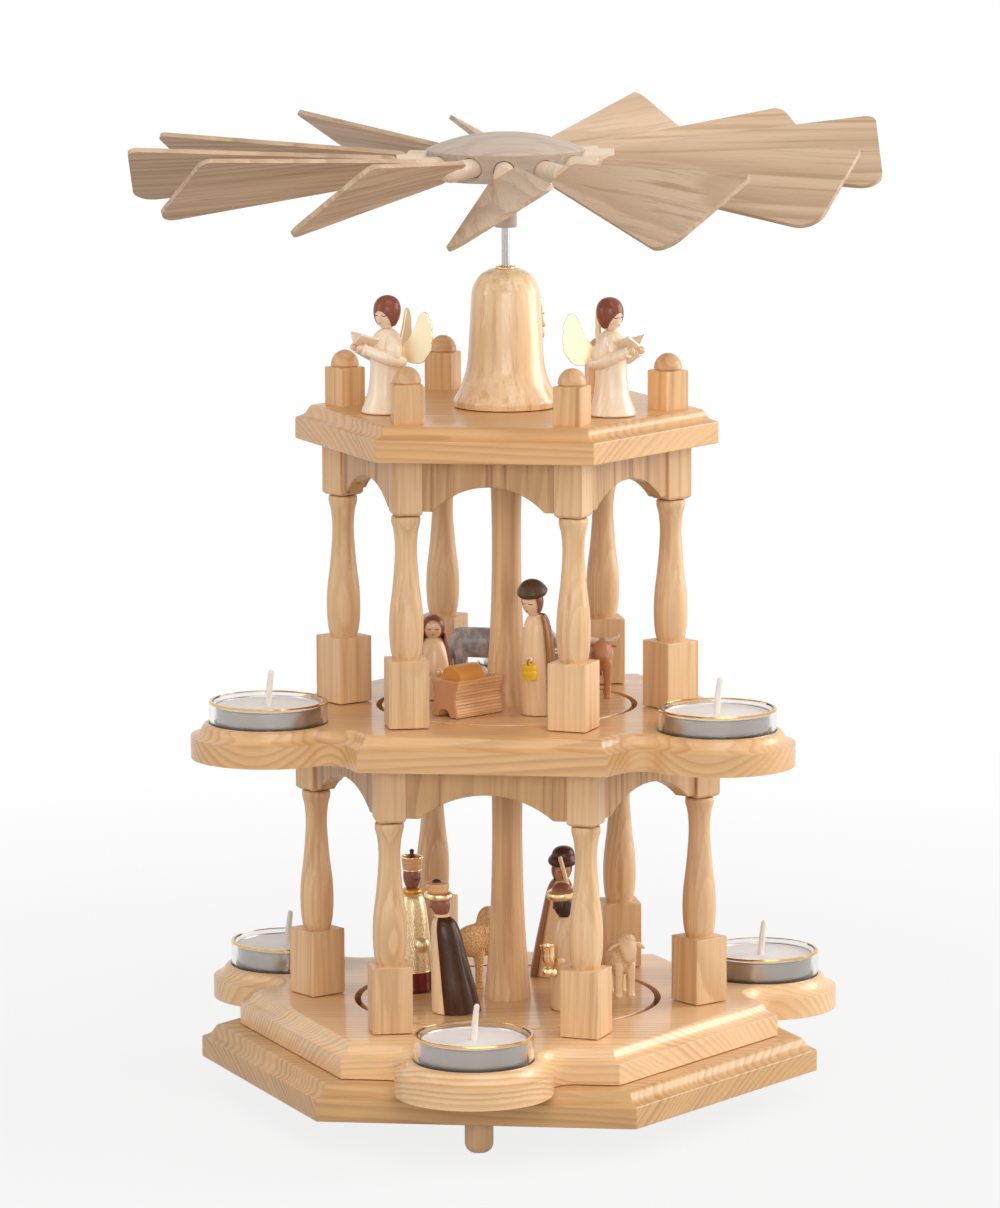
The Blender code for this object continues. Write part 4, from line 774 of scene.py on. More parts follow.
# Posts with their round caps, and the turned pillars, in mm
POST_WIDTH, POST_HEIGHT = 11, 14.7
CAP_RADIUS, CAP_RISE, CAP_TOP = 5.3, 5.9, 20.8
CAP_ROWS = [(4.8, 14), (4.8, POST_HEIGHT)]
CAP_ROWS += [(CAP_RADIUS * math.cos(math.radians(turn)), 14.9 + CAP_RISE * math.sin(math.radians(turn)))
             for turn in range(0, 90, 9)] + [(0, CAP_TOP)]
PLINTH_WIDTH, PLINTH_HEIGHT = 15, 25
TURNING_RADIUS, TURNING_HEIGHT = 6.35, 53.4
BALUSTER = ((0.0, 0.78), (0.06, 0.92), (0.19, 1.0), (0.34, 0.96), (0.52, 0.78), (0.75, 0.64), (0.89, 0.71),
            (0.96, 0.85), (1.0, 0.83))
for number in range(1, SIDES + 1):
    angle = 60 * number - 60
    corner = on_circle(UPPER_COLUMNS - POST_INSET, angle, TOP_TOP, 45)
    post = box((POST_WIDTH, POST_WIDTH, POST_HEIGHT), (0, 0, 7.05))
    piece(f"post_{number}", moved(post, corner), POST_WOOD, "stand", bevel=BOARD_BEVEL)
    piece(f"post_cap_{number}", moved(turned(CAP_ROWS, 40), corner), BALL_WOOD, "stand", bevel=0.2)
    for storey, circle, floor in (("lower", LOWER_COLUMNS, LOWER_TOP), ("upper", UPPER_COLUMNS, MIDDLE_TOP)):
        rows = rows_from(BALUSTER, TURNING_RADIUS, TURNING_HEIGHT, PLINTH_HEIGHT)
        rows = [(0, 24), (4.95, 24)] + rows + [(0, PLINTH_HEIGHT + TURNING_HEIGHT)]
        plinth = box((PLINTH_WIDTH, PLINTH_WIDTH, PLINTH_HEIGHT), (0, 0, PLINTH_HEIGHT / 2))
        column = joined(plinth, turned(rows, 48))
        piece(f"{storey}_pillar_{number}", moved(column, on_circle(circle, angle, floor + SEAT, 45)),
              UPRIGHT_WOOD, "stand", f"{storey}_column_{number}", bevel=0.5)


def make_arcade(storey, circle, floor, shoulder):
    """The square capitals of a storey, and the arched panels between them."""
    low = floor + 79 * MM
    top = low + 20.7 * MM
    edge = low + 1.6 * MM
    half = circle / 2
    span = half - 5.6 * MM - shoulder
    rise = 9.2 * MM
    radius = (span ** 2 + rise ** 2) / (2 * rise)
    sweep = math.degrees(math.asin(span / radius))
    capitals = []
    panels = []
    for side in range(SIDES):
        block = box((11.2, 11.2, 20.7), (0, 0, 10.35))
        under = [line for line in block.edges if all(vert.co.z < MM for vert in line.verts)]
        bmesh.ops.bevel(block, geom=under, offset=MM, segments=1, profile=0.5, affect="EDGES", material=-1)
        capitals.append(moved(block, on_circle(circle, 60 * side, low, 45)))
        pen = Pen((-half, edge, 0))
        pen.line((-span, edge))
        pen.arc((0, edge + rise - radius), -2 * sweep, 24)
        pen.line((half, edge), (half, top), (-half, top), (-half, edge))
        panels.append(moved(plate(pen, 6 * MM), on_circle(circle * FLAT, 60 * side + 30) @ UPRIGHT))
    piece(f"{storey}_capitals", joined(*capitals), UPRIGHT_WOOD, "stand", bevel=0.35)
    # The arched panels take the darker wood, with the decks' shade painted on.
    piece(f"{storey}_arches", joined(*panels), ARCH_PAINTED_SHADE_WOOD, "stand", f"{storey}_arcade", bevel=BOARD_BEVEL)


make_arcade("lower", LOWER_COLUMNS, LOWER_TOP, 6.1 * MM)
make_arcade("upper", UPPER_COLUMNS, MIDDLE_TOP, 4.9 * MM)

BELL = ((0.0, 0.99), (0.025, 1.0), (0.05, 1.0), (0.1, 0.93), (0.19, 0.82), (0.32, 0.735), (0.6, 0.69),
        (0.78, 0.66), (0.86, 0.635), (0.945, 0.51), (0.985, 0.36), (1.0, 0.25))
bell_rows = rows_from(BELL, 19.6, 51.6, 264.3) + [(3.2, 315.9), (3.2, 264.3)]
piece("turned_bell", turned(bell_rows, 96, closed=True), BELL_WOOD, "stand", "bell", bevel=0.2)
BEADS = 14
beads = []
for step in range(BEADS):
    bead = bmesh.new()
    bmesh.ops.create_icosphere(bead, subdivisions=2, radius=0.55 * MM)
    beads.append(moved(bead, Matrix.Translation(polar(3.3 * MM, step * 360 / BEADS, 316.2 * MM))))
BUSH = ((1.85, 309.4), (2.9, 309.4), (2.9, 315.9), (3.7, 316), (3.7, 316.5), (2.6, 316.9), (1.85, 316.9))
piece("brass_bush", joined(turned(BUSH, 48, closed=True), *beads), BRASS, "stand", "shaft_bush", bevel=0.08)
SHAFT = ((0, 22.1), (0.3, 22.1), (1.5, 25.1), (1.5, 361.2), (1.3, 361.4), (0, 361.4))
piece("steel_shaft", turned(SHAFT, 40), STEEL, "carousel", "shaft", bevel=0.05)


# The two figure tables with their sleeves

SLEEVE = ((0.0, 1.0), (0.015, 1.0), (0.05, 0.955), (0.14, 0.86), (0.30, 0.74), (0.52, 0.66), (0.72, 0.66),
          (0.9, 0.73), (1.0, 0.8))
BORE = 1.8
TABLE_THICKNESS = 7


def figure_table(level, radius, top, sleeve, sleeve_top, node):
    """A round table and the turned sleeve that stands on it round the shaft."""
    low = top - TABLE_THICKNESS
    disc = ((BORE, low), (radius, low), (radius, top), (BORE, top))
    piece(f"{level}_figure_table", turned(disc, 128, closed=True), TABLE_WOOD, "carousel", node, bevel=0.5)
    rows = [(BORE, top - 0.5), (sleeve, top - 0.5)] + rows_from(SLEEVE, sleeve, sleeve_top - top, top)
    turning = turned(rows + [(BORE, sleeve_top)], closed=True)
    piece(f"{level}_sleeve", turning, SLEEVE_WOOD, "carousel", bevel=0.25)


figure_table("lower", 55.9, 38, 8.8, 143.7, "lower_turntable")
figure_table("upper", 47.2, 151, 8.4, 249.5, "upper_turntable")


# Fan: how far each blade is swung, lifted and twisted, in degrees

SETTINGS = ((0, 1, 31), (2, 0, 32), (0, 1, 36), (0, -2, 29), (-3, -1, 34), (1, -2, 30), (0, -2, 29),
            (1, -2, 33), (2, -2, 37), (-2, -4, 32), (0, -4, 35), (-1, -2, 37))
PEG_LEVEL = 356.4 * MM
FIRST_BLADE = 7.7
BLADE_STEP = 30
DOME_RADIUS = 29.6
DOME_SHARES = (0.98, 0.94, 0.88, 0.8, 0.7, 0.58, 0.44, 0.3, 0.16)
BLADE_THICKNESS = 1.7 * MM


def blade_frame(index):
    """The frame of a blade's peg: X outwards along the peg, Y towards the raised edge."""
    swing, lift, twist = SETTINGS[index]
    turn = FIRST_BLADE + BLADE_STEP * index
    return Matrix.Translation((0, 0, PEG_LEVEL)) @ spun(turn + swing) @ spun(-lift, "Y") @ spun(twist, "X")


def make_hub():
    """The domed hub with its neck and the bores of the pegs."""
    rows = [(0, 361.7), (1.8, 361.7), (1.8, 331.4), (3.9, 331.4), (4.2, 331.7), (4.2, 348.9), (4.7, 349.4),
            (25, 349.4), (29.3, 359.6), (DOME_RADIUS, 360.3)]
    rows += [(DOME_RADIUS * share, 360.6 + 6.2 * (1 - share ** 2.2)) for share in DOME_SHARES] + [(0, 366.8)]
    bore = ((0, 18.7), (3.95, 18.7), (3.95, 33), (0, 33))
    bores = [moved(turned(bore, 32), blade_frame(index) @ spun(90, "Y")) for index in range(len(SETTINGS))]
    piece("turned_hub", carved(turned(rows, 144), bores), HUB_WOOD, "carousel", "fan_hub", bevel=0.3)


def make_blade(index):
    """A blade: the paddle, and its peg, cut away by half under the paddle."""
    name = f"blade_{index + 1:02d}"
    frame_of_blade = blade_frame(index)
    turn = (0, 90, FIRST_BLADE + BLADE_STEP * index)
    pith = (0, 60 + 9 * index % 40, 300 + 7 * index % 30)
    grain = wood(f"{name} wood", (0.64, 0.45, 0.30), (0.36, 0.21, 0.11), turn, pith,
                 3.4 + 0.3 * (index * 5 % 7), "pale_wood", rings=0.5, fibres=0.26, bands=0.25, rough=0.55,
                 coat=0.0, warp=0.6, pores=0.1, stripes=0.75)
    pen = Pen((43.4 * MM, -6.4 * MM))
    pen.line((130.22 * MM, -21.57 * MM))
    pen.arc((131.6 * MM, -13.69 * MM), 99.9, 12)
    pen.line((139.6 * MM, 18.5 * MM))
    pen.arc((136.1 * MM, 18.5 * MM), 100, 10)
    pen.line((43.4 * MM, 6.4 * MM))
    pen.arc((43.9 * MM, 3.05 * MM), 82, 6)
    pen.line((40.5 * MM, -3.05 * MM))
    pen.arc((43.9 * MM, -3.05 * MM), 82, 6)
    paddle = moved(plate(pen, BLADE_THICKNESS), frame_of_blade)
    piece(f"{name}_paddle", paddle, grain, name, name, bevel=0.3)
    peg = moved(turned(((0, 19), (3.4, 19), (3.65, 19.3), (3.65, 44), (3.3, 46.5), (2.2, 49.6), (1.28, 51),
                        (0, 51)), 40), spun(90, "Y"))
    lap = box((20, 12, 8), (50.5, 0, 4))
    piece(f"{name}_peg", moved(carved(peg, [lap]), frame_of_blade), PEG_WOOD, name, bevel=0.15)


make_hub()
for blade_index in range(len(SETTINGS)):
    make_blade(blade_index)


# Glasses and tealights

def make_light(storey, number, place):
    """A glass with a thin gold rim, and the tealight in it."""
    glass = f"{storey}_glass_{number}"
    rows = [(0, 2.2), (18.6, 2.2), (19.6, 2.5), (20.2, 3.1), (20.4, 4), (20.4, 18.2), (20.7, 18.6),
            (21.6, 18.6), (22, 18.2), (22, 2.2), (21.7, 1.1), (20.9, 0.3), (19.8, 0), (0, 0)]
    matrix = Matrix.Translation(place)
    piece(f"{storey}_cup_{number}", moved(turned(rows, 96), matrix), GLASS, glass, glass)
    rim = ((20.95, 18.58), (21.0, 18.7), (21.66, 18.68), (22.06, 18.27), (22.06, 17.95), (21.98, 17.95),
           (21.98, 18.2), (21.6, 18.58))
    piece(f"{storey}_rim_{number}", moved(turned(rim, 96, closed=True), matrix), RIM_GOLD, glass)
    light = f"{storey}_tealight_{number}"
    lifted = Matrix.Translation(place + Vector((0, 0, 2.5 * MM)))
    cup = ((0, 0), (18.2, 0), (18.9, 0.6), (19.4, 2.2), (19.4, 14.1), (19.8, 14.3), (19.8, 14.6),
           (19.25, 14.6), (19, 14.2), (19, 12.6), (0, 12.6))
    piece(f"{storey}_tin_{number}", moved(turned(cup, 96), lifted), ALUMINIUM, light, light, bevel=0.08)
    top = ((0, 12.2), (19.02, 12.2), (19.02, 14.25), (18.7, 14.1), (16, 13.95), (6, 14.0), (2.4, 14.1),
           (1.6, 13.85), (0, 13.8))
    piece(f"{storey}_wax_{number}", moved(turned(top, 96), lifted), WAX, light)
    bent = [(0, 0, 12.6), (0.1, 0, 16), (0.5, 0.1, 21.5), (1.1, 0, 26.4)]
    wick = limb(bent, [1.1, 1.15, 1.15, 1.0], 16, 4)
    piece(f"{storey}_wick_{number}", moved(wick, lifted), WICK, light)


LIGHT_LEVELS = (("lower", LOWER_ARMS, LOWER_REACH, 28.7 * MM),
                ("upper", MIDDLE_ARMS, MIDDLE_REACH, 140.5 * MM))
for storey, arms, reach, level in LIGHT_LEVELS:
    for number, angle in enumerate(arms, 1):
        make_light(storey, number, polar(reach, angle, level))

for slot in bpy.data.objects["bearing_cup"].material_slots:
    slot.material = STEEL[0]

# Figures, each made in millimetres on its own foot, looking along X

BOTH = (-1, 1)
LOWER_FLOOR = 38.3
UPPER_FLOOR = 151.3
SOFT = {"sharp": 60}
TURNED = {"sharp": 50}
CLOTH = {"thick": 0.55, "bevel": 0.2, "sharp": 50}
ROUNDED_HAIR = {"sharp": 50, "bevel": 0.2}
HAND = (1.5, 1.5, 1.5)
MOUTH = (0.2, 0.6, 0.15)
LID_RADII = (0.15, 0.15, 0.15)
LID_SAG = ((-11, 0.22), (0, -0.1), (11, 0.22))
EYE_ANGLE = 23
EGG_FULLNESS = 0.16
SKIN_VOXEL = 0.42 * MM


def shift(x, y=0.0, z=0.0):
    """A move in millimetres."""
    return Matrix.Translation((x * MM, y * MM, z * MM))


def ball(radii, centre):
    """An ellipsoid."""
    bm = bmesh.new()
    bmesh.ops.create_uvsphere(bm, u_segments=28, v_segments=18, radius=MM)
    bmesh.ops.scale(bm, vec=radii, verts=bm.verts)
    return moved(bm, shift(*centre))


def balls(radii, x, y, z):
    """Two ellipsoids, one to each side."""
    return joined(*[ball(radii, (x, side * y, z)) for side in BOTH])


def limbs(points, *form):
    """Two limbs, one to each side."""
    return joined(*[limb([(x, side * y, z) for x, y, z in points], *form) for side in BOTH])


def egg(radius, low, high, fuller=0.0):
    """A turned egg between two heights, its widest ring raised by a share of its height."""
    middle, half = (low + high) / 2, (high - low) / 2
    rows = []
    for turn in range(0, 181, 9):
        level = math.cos(math.radians(turn))
        height = middle - half * (level - fuller * (1 - level * level))
        rows.append((radius * math.sin(math.radians(turn)), height))
    return turned(rows, 48)


def robe(points, steps=64):
    """A turned robe, closed at its foot and its neck."""
    rows = [(row.x, row.y) for row in smooth(points)]
    return turned([(0, rows[0][1])] + rows + [(0, rows[-1][1])], steps)


def hoop(radius, height, thick):
    """A turned ring."""
    rows = [(radius + thick * math.cos(math.radians(turn)), height + thick * math.sin(math.radians(turn)))
            for turn in range(0, 360, 20)]
    return turned(rows, 56, closed=True)


def cloak(points, opening):
    """An open cloak that leaves the front free by an angle to each side."""
    rows = [(row.x, row.y) for row in smooth(points)]
    return moved(turned(rows, 56, 360 - 2 * opening), spun(opening))


def tipped(bm, amount, height):
    """Tips a hat or a crown forwards about its own height."""
    pivot = shift(0, 0, height)
    return moved(bm, pivot @ spun(amount, "Y") @ pivot.inverted())


def hair(radius, low, high, cut, hem):
    """Hair round a head, with the face cut free and an even hem."""
    return carved(egg(radius, low, high, EGG_FULLNESS), [ball(*cut), box((20, 20, 8), (0, 0, hem - 4))])


def face(shape, skin, look, speech=None, matrix=Matrix(), lid_finish=DARKEST_FACE):
    """The rows of an egg-shaped head with a plain nose and two closed eyes, and a mouth where it shows."""
    radius, low, high = shape
    nose = ball((0.42, 0.36, 0.52), (radius * 0.97, 0, low + 0.44 * (high - low)))
    reach, height = look
    lids = [limb([polar(reach, side + turn, height + sag) for turn, sag in LID_SAG], LID_RADII, 8)
            for side in (-EYE_ANGLE, EYE_ANGLE)]
    rows = [("head", moved(joined(egg(radius, low, high, EGG_FULLNESS), nose), matrix), skin),
            ("eyes", moved(joined(*lids), matrix), lid_finish)]
    if speech:
        rows.append(("mouth", moved(ball(MOUTH, (speech[0], 0, speech[1])), matrix), HAIR))
    return rows


def figure(name, matrix, parts, body="carousel", node=None):
    """Dresses one figure: its first piece stands for the CAD node."""
    for index, (part, bm, finish, *rest) in enumerate(parts):
        piece(f"{name}_{part}", moved(bm, matrix), finish, body, () if index else node or name,
              **(rest[0] if rest else SOFT))


def figure_place(x, y, floor, facing, lean=0.0, height=1.0, towards=0.0):
    """The matrix of a figure that looks along an angle, and leans that way or to one side of it."""
    return shift(x, y, floor) @ spun(facing + towards) @ leaning(lean, height) @ spun(-towards)


WING = [(0.6, 21.4), (0.5, 23.0), (1.3, 25.2), (3.4, 27.2), (5.2, 30.2), (6.6, 34.0), (7.8, 36.6),
        (9.3, 37.8), (10.9, 37.0), (11.8, 34.8), (12.6, 33.8), (12.9, 31.4), (12.5, 30.7), (13.2, 29.3),
        (13.1, 26.7), (12.6, 26.0), (12.8, 24.0), (11.9, 21.8), (11.2, 21.2), (10.2, 19.4), (8.2, 18.3),
        (5.8, 18.2), (3.2, 18.9), (1.3, 20.2)]
WING_THICKNESS = 1.2


def sheet(points, thickness):
    """A flat plate with straight sides between points, in mm."""
    pen = Pen((points[0][0] * MM, points[0][1] * MM))
    pen.line(*[(x * MM, y * MM) for x, y in points[1:] + points[:1]])
    return plate(pen, thickness * MM)


def make_angel(number, angle, glance):
    """An angel in a pale robe, reading in an open book; the head is turned by a glance."""
    sleeves = [limbs([(0.2, 4.2, 27.4), (0.0, 6.0, 24.4), (-0.6, 6.8, 21.8)], [2.3, 3.0, 2.5], 18),
               limbs([(-3.2, 6.9, 19.4), (1.6, 6.5, 20.6), (6.2, 5.2, 22.4), (9.8, 3.8, 24.0)],
                     [2.2, 2.6, 2.3, 1.9], 18)]
    book = []
    wings = []
    for side in BOTH:
        sleeves.append(moved(hoop(1.7, 0, 0.5), shift(10.3, side * 3.6, 24.2) @ spun(74, "Y")))
        book.append(moved(box((7.8, 6.4, 0.9), (0, side * 3.1, 0)),
                          shift(9.6, 0, 25.4) @ spun(-16, "Y") @ spun(side * 36, "X")))
        spread = shift(-4.8, side * 1.6) @ spun(90 - side * 45)
        wings.append(moved(sheet(WING, WING_THICKNESS), spread @ UPRIGHT))
    turn = spun(glance)
    locks = hair(5.15, 30.4, 43.7, ((4.5, 4.2, 6.9), (4.3, 0, 31.4)), 32.3)
    figure(f"angel_{number}", on_circle(48.9 * MM, angle, 264.3 * MM) @ leaning(-1.1, 44), [
        ("robe", robe([(8.6, 0), (8.9, 0.5), (8.6, 1.6), (7.7, 4), (6.8, 7), (6.2, 10.5), (5.9, 15),
                       (5.9, 19), (6.1, 22.5), (5.8, 26), (4.9, 28.7), (3.4, 30.4), (2.2, 31.2)]),
         ANGEL_WOOD, TURNED),
        ("sleeves", joined(*sleeves), ANGEL_WOOD),
        ("hands", balls((1.6, 1.5, 1.5), 11.6, 3.1, 24.6), FACE_WOOD),
        *face((4.85, 30.8, 43.2), ANGEL_FACE, (4.7, 36.3), (4.4, 33.6), turn),
        ("hair", moved(locks, turn), HAIR, {"sharp": 50, "bevel": 0.3}),
        ("book", joined(*book), ANGEL_WOOD, {"bevel": 0.15}),
        ("wings", joined(*wings), WING_GOLD, {"bevel": 0.3}),
    ], "stand")


def make_gold_king():
    crown = turned(((0, 46.4), (3.3, 46.4), (3.5, 47), (4.2, 51.6), (3.7, 51.7), (3.4, 50.4), (0, 50.4)), 56)
    gem = robe([(1.7, 50.3), (1.6, 51.2), (0.9, 52.6), (0.75, 53.2), (0.95, 53.9), (0.6, 54.5)], 32)
    figure("gold_king", figure_place(-37.5, 7.7, LOWER_FLOOR, -30), [
        ("robe", robe([(7.6, 7.6), (7.4, 12), (6.7, 21), (5.8, 29), (5.1, 33.6), (4.2, 36.4), (3.0, 37.6),
                       (2.4, 38)]), GOLD_ROBE, TURNED),
        ("hem", robe([(7.5, 0), (7.9, 0.5), (7.9, 3), (7.7, 7.7)]), RED, TURNED),
        ("hem_band", hoop(7.6, 7.9, 0.45), GOLD),
        ("collar", hoop(2.5, 38.3, 1.3), ORANGE_GOLD),
        *face((3.45, 38.2, 48.8), DARK_FACE, (3.38, 43.2)),
        ("crown", crown, CRIB_WOOD, {"bevel": 0.1}),
        ("crown_bands", joined(hoop(3.95, 51.5, 0.42), hoop(3.4, 46.6, 0.35)), GOLD),
        ("gem", gem, RED),
        ("gift", ball((3.0, 3.0, 3.0), (6.6, -2.6, 18.6)), GOLD_ROBE),
    ])


def make_cloaked_king():
    crown = robe([(3.3, 44.4), (3.5, 45.2), (4.2, 46.6), (4.5, 48.2), (4.3, 48.9), (3.4, 49.2)], 56)
    figure("cloaked_king", figure_place(-16.4, -27.4, LOWER_FLOOR, 187, 7.2, 50.2), [
        ("robe", robe([(8.8, 0), (9.0, 0.5), (8.5, 5), (7.3, 14), (6.1, 23), (4.9, 30.4), (3.9, 34),
                       (2.6, 35.6)]), FIGURE_WOOD, TURNED),
        ("cloak", cloak([(9.0, 0.1), (8.3, 8), (7.4, 14.7), (6.4, 23), (5.8, 28.6), (5.2, 31.8), (4.3, 34.2),
                         (3.0, 35.5), (1.5, 36)], 63), DARK_CLOAK, CLOTH),
        ("collar", hoop(2.2, 36.4, 0.8), FIGURE_WOOD),
        *face((3.75, 35.8, 44.8), DARK_FACE, (3.66, 40)),
        ("brim", hoop(3.8, 44.1, 1.75), GOLD),
        ("crown", crown, CRIB_WOOD),
        ("knob", egg(1.75, 48.3, 50.4), DARKEST_FACE),
    ])


def make_goblet_king():
    goblet = turned(((0, 13.9), (2.9, 13.9), (3.1, 14.5), (3.0, 15.7), (2.2, 16.5), (1.7, 17.2), (2.1, 18),
                     (2.8, 19.5), (2.55, 21.4), (2.7, 23.3), (3.05, 25), (2.75, 25.1), (2.4, 23.5),
                     (0, 22.8)), 48)
    figure("goblet_king", figure_place(26, -17.8, LOWER_FLOOR, 200, 3.0, 42), [
        ("robe", robe([(7.2, 0), (7.5, 0.5), (7.2, 6), (6.5, 15), (5.6, 24), (4.5, 30), (3.3, 33.6),
                       (2.4, 35)]), FIGURE_WOOD, TURNED),
        *face((3.95, 34.4, 44.0), DARKEST_FACE, (3.85, 38.8), lid_finish=BROWN),
        ("brim", tipped(hoop(4.25, 43.7, 2.0), 7, 43.7), GOLD),
        ("cap", tipped(egg(3.9, 41.4, 48.3), 7, 43.7), RED_BROWN),
        ("goblet", moved(goblet, shift(7.9, 3.8)), GOLD),
        ("hands", joined(ball(HAND, (3.9, 6.2, 19.4)), ball(HAND, (6.9, 1.0, 18.6))), FIGURE_WOOD),
    ])


def make_herdsman():
    hat = [(3.3, 42.8), (4.9, 43.0), (5.6, 44.2), (5.4, 45.4), (4.6, 46.6), (4.0, 48.4), (2.8, 49.6),
           (0.8, 50.2)]
    locks = hair(4.05, 35.8, 45.2, ((3.4, 3.6, 4.6), (3.2, 0, 40)), 37.2)
    stick = limb([(3.4, 8.4, 17), (4.6, 3.4, 31), (6.2, -2.4, 46.6)], [0.85, 0.85, 0.8], 12)
    figure("herdsman", figure_place(12.8, 42, LOWER_FLOOR, -72, 4.2, 50.4, 78), [
        ("robe", robe([(7.6, 0), (7.8, 0.5), (7.3, 7), (6.2, 18), (5.1, 27), (4.1, 33), (3.0, 35.8),
                       (2.4, 36.6)]), FIGURE_WOOD, TURNED),
        ("cloak", cloak([(8.4, 0.1), (7.9, 6), (7.3, 12.4), (6.3, 20), (5.3, 28), (4.6, 32.6), (3.6, 35.6),
                         (2.6, 36.9)], 58), HERD_CLOAK, CLOTH),
        # His face takes the darker wood, which paints the shade on it.
        *face((3.8, 35.6, 45.2), SHADED_FACE, (3.7, 40.6), (3.6, 38.2)),
        ("hair", locks, VEIL, ROUNDED_HAIR),
        ("hat", tipped(robe(hat), 5, 44), RED_HAT),
        ("hand", ball(HAND, (3.9, 5.2, 24)), FACE_WOOD),
        ("stick", stick, FIGURE_WOOD),
    ])


def make_woman():
    """The kneeling woman, with a veil over her head and down her back."""
    mantle = cloak([(6.9, 5), (6.6, 10), (6.0, 15), (5.2, 19.4), (4.5, 22), (4.3, 24.6)], 64)
    veil = hair(4.45, 21.6, 31.8, ((3.6, 3.9, 4.9), (3.6, 0, 25.4)), 23)
    figure("kneeling_woman", figure_place(-29.1, 9.9, UPPER_FLOOR, -84, 0.6, 31.5), [
        ("robe", robe([(7.0, 0), (7.3, 0.6), (7.2, 5), (6.9, 10), (6.2, 15), (5.3, 19), (4.1, 21.7),
                       (2.7, 23)]), FIGURE_WOOD, TURNED),
        ("hands", balls((1.4, 1.4, 1.4), 6.8, 2.4, 10.6), FACE_WOOD),
        *face((3.95, 22.2, 31), FACE_WOOD, (3.85, 26.6), (3.7, 24.6)),
        ("veil", veil, VEIL, {"sharp": 50, "bevel": 0.25}),
        ("mantle", mantle, VEIL, CLOTH),
    ])


def make_man():
    """The standing man with the lantern."""
    lantern = turned(((0, 14.2), (2.6, 14.2), (2.7, 14.6), (2.6, 15.2), (2.75, 15.6), (2.75, 17.2),
                      (2.6, 17.5), (2.75, 17.9), (2.75, 19.2), (2.5, 19.6), (0.7, 19.7), (0.5, 20.3),
                      (0, 20.3)), 40)
    bail = moved(hoop(1.1, 0, 0.22), shift(0, 0, 20.6) @ spun(90, "X"))
    hat = [(3.4, 44.6), (4.9, 44.9), (5.8, 46.3), (5.7, 47.1), (4.8, 48.6), (3.4, 50.1), (1.6, 51.0),
           (0.3, 51.1)]
    locks = hair(4.15, 36.6, 47.4, ((3.7, 3.9, 6.2), (3.4, 0, 41)), 38.6)
    back = cloak([(7.6, 0.4), (7.3, 8), (6.8, 17), (6.0, 26), (5.2, 32), (4.3, 35.6), (3.2, 37.4)], 92)
    forward = shift(1.7)
    lantern_place = shift(7.8, 2.2)
    figure("man", figure_place(14.4, -21.5, UPPER_FLOOR, 240, 2.2, 51), [
        ("robe", robe([(6.3, 0), (6.6, 0.5), (6.4, 6), (6.0, 16), (5.3, 26), (4.7, 32), (3.8, 35.4),
                       (2.6, 37.2)]), FIGURE_WOOD, TURNED),
        ("cloak", moved(back, spun(-22)), BROWN, CLOTH),
        ("hand", ball((1.5, 1.5, 1.4), (6.4, 1.2, 21.4)), FACE_WOOD),
        *face((3.9, 36.9, 47.6), FACE_WOOD, (3.8, 42), (3.6, 39.4), forward),
        ("hair", moved(locks, forward), VEIL, ROUNDED_HAIR),
        ("hat", moved(tipped(robe(hat), 12, 46), forward), HAT),
        ("lantern", moved(lantern, lantern_place), YELLOW, {"bevel": 0.1}),
        ("bail", moved(bail, lantern_place), BROWN),
    ], node="man_with_lantern")


CRIB_SIDE = [(6.7, 0), (6.5, 1.6), (5.8, 4.0), (5.35, 6.2), (5.5, 8.4), (6.2, 10.8), (7.0, 13.6)]
CRIB_ARCH = [(-3.1, 0), (-2.6, 1.5), (-1.5, 2.5), (0, 2.8), (1.5, 2.5), (2.6, 1.5), (3.1, 0)]
CRIB_BOARD = 11.6
CRIB_END_BOARD = 12.5
BLANKET_RADIUS = 5.9


def crib_slab(start, end):
    """The waisted profile with its arched foot, drawn across the crib and stretched along it."""
    outline = CRIB_SIDE + [(-x, z) for x, z in CRIB_SIDE[::-1]] + CRIB_ARCH
    return moved(sheet(outline, end - start), shift((start + end) / 2) @ UPRIGHT)


def make_crib():
    """The crib: a waisted trough with grooved sides, a rounded blanket and a small child under it."""
    hollow = box((21.4, 9, 9), (0, 0, 14.5))
    grooves = []
    for (wide, low), (next_wide, high) in zip(CRIB_SIDE, CRIB_SIDE[1:]):
        for share in (0.25, 0.75):
            y, z = wide + (next_wide - wide) * share, low + (high - low) * share
            grooves += [box((30, 0.9, 0.4), (0, side * y, z)) for side in BOTH]
    trough = carved(crib_slab(-CRIB_BOARD, CRIB_BOARD), [hollow, joined(*grooves)])
    ends = joined(crib_slab(-CRIB_END_BOARD, -CRIB_BOARD), crib_slab(CRIB_BOARD, CRIB_END_BOARD))
    rows = [(BLANKET_RADIUS, 10.5)]
    rows += [(BLANKET_RADIUS * math.cos(math.radians(turn)), 12.6 + 6.3 * math.sin(math.radians(turn)))
             for turn in range(0, 181, 9)]
    blanket = moved(sheet(rows + [(-BLANKET_RADIUS, 10.5)], 12.6), shift(-2.4) @ UPRIGHT)
    child = joined(ball((2.3, 2.2, 2.3), (7.6, 0, 14.6)), ball((3.0, 3.4, 1.6), (8.2, 0, 11.4)))
    figure("crib", figure_place(-11.9, -23.7, UPPER_FLOOR, 51.3), [
        ("trough", trough, CRIB_WOOD, {"bevel": 0.15}),
        # The end boards carry painted shade, darker than the trough's sides.
        ("ends", ends, CRIB_END, {"bevel": 0.25}),
        ("blanket", blanket, BLANKET, {"bevel": 0.8, "segments": 4}),
        ("child", child, HORN),
    ])


def legs(places, top, low_radius, high_radius, foot=0.3):
    """Four legs with hooves."""
    radii = [low_radius * 1.15, low_radius, low_radius, high_radius]
    rows = [[(x + foot, y, 0.3), (x + foot * 0.4, y, 1.6), (x, y, top * 0.5), (x, y * 0.9, top)]
            for x, y in places]
    return joined(*[limb(points, radii, 12) for points in rows])


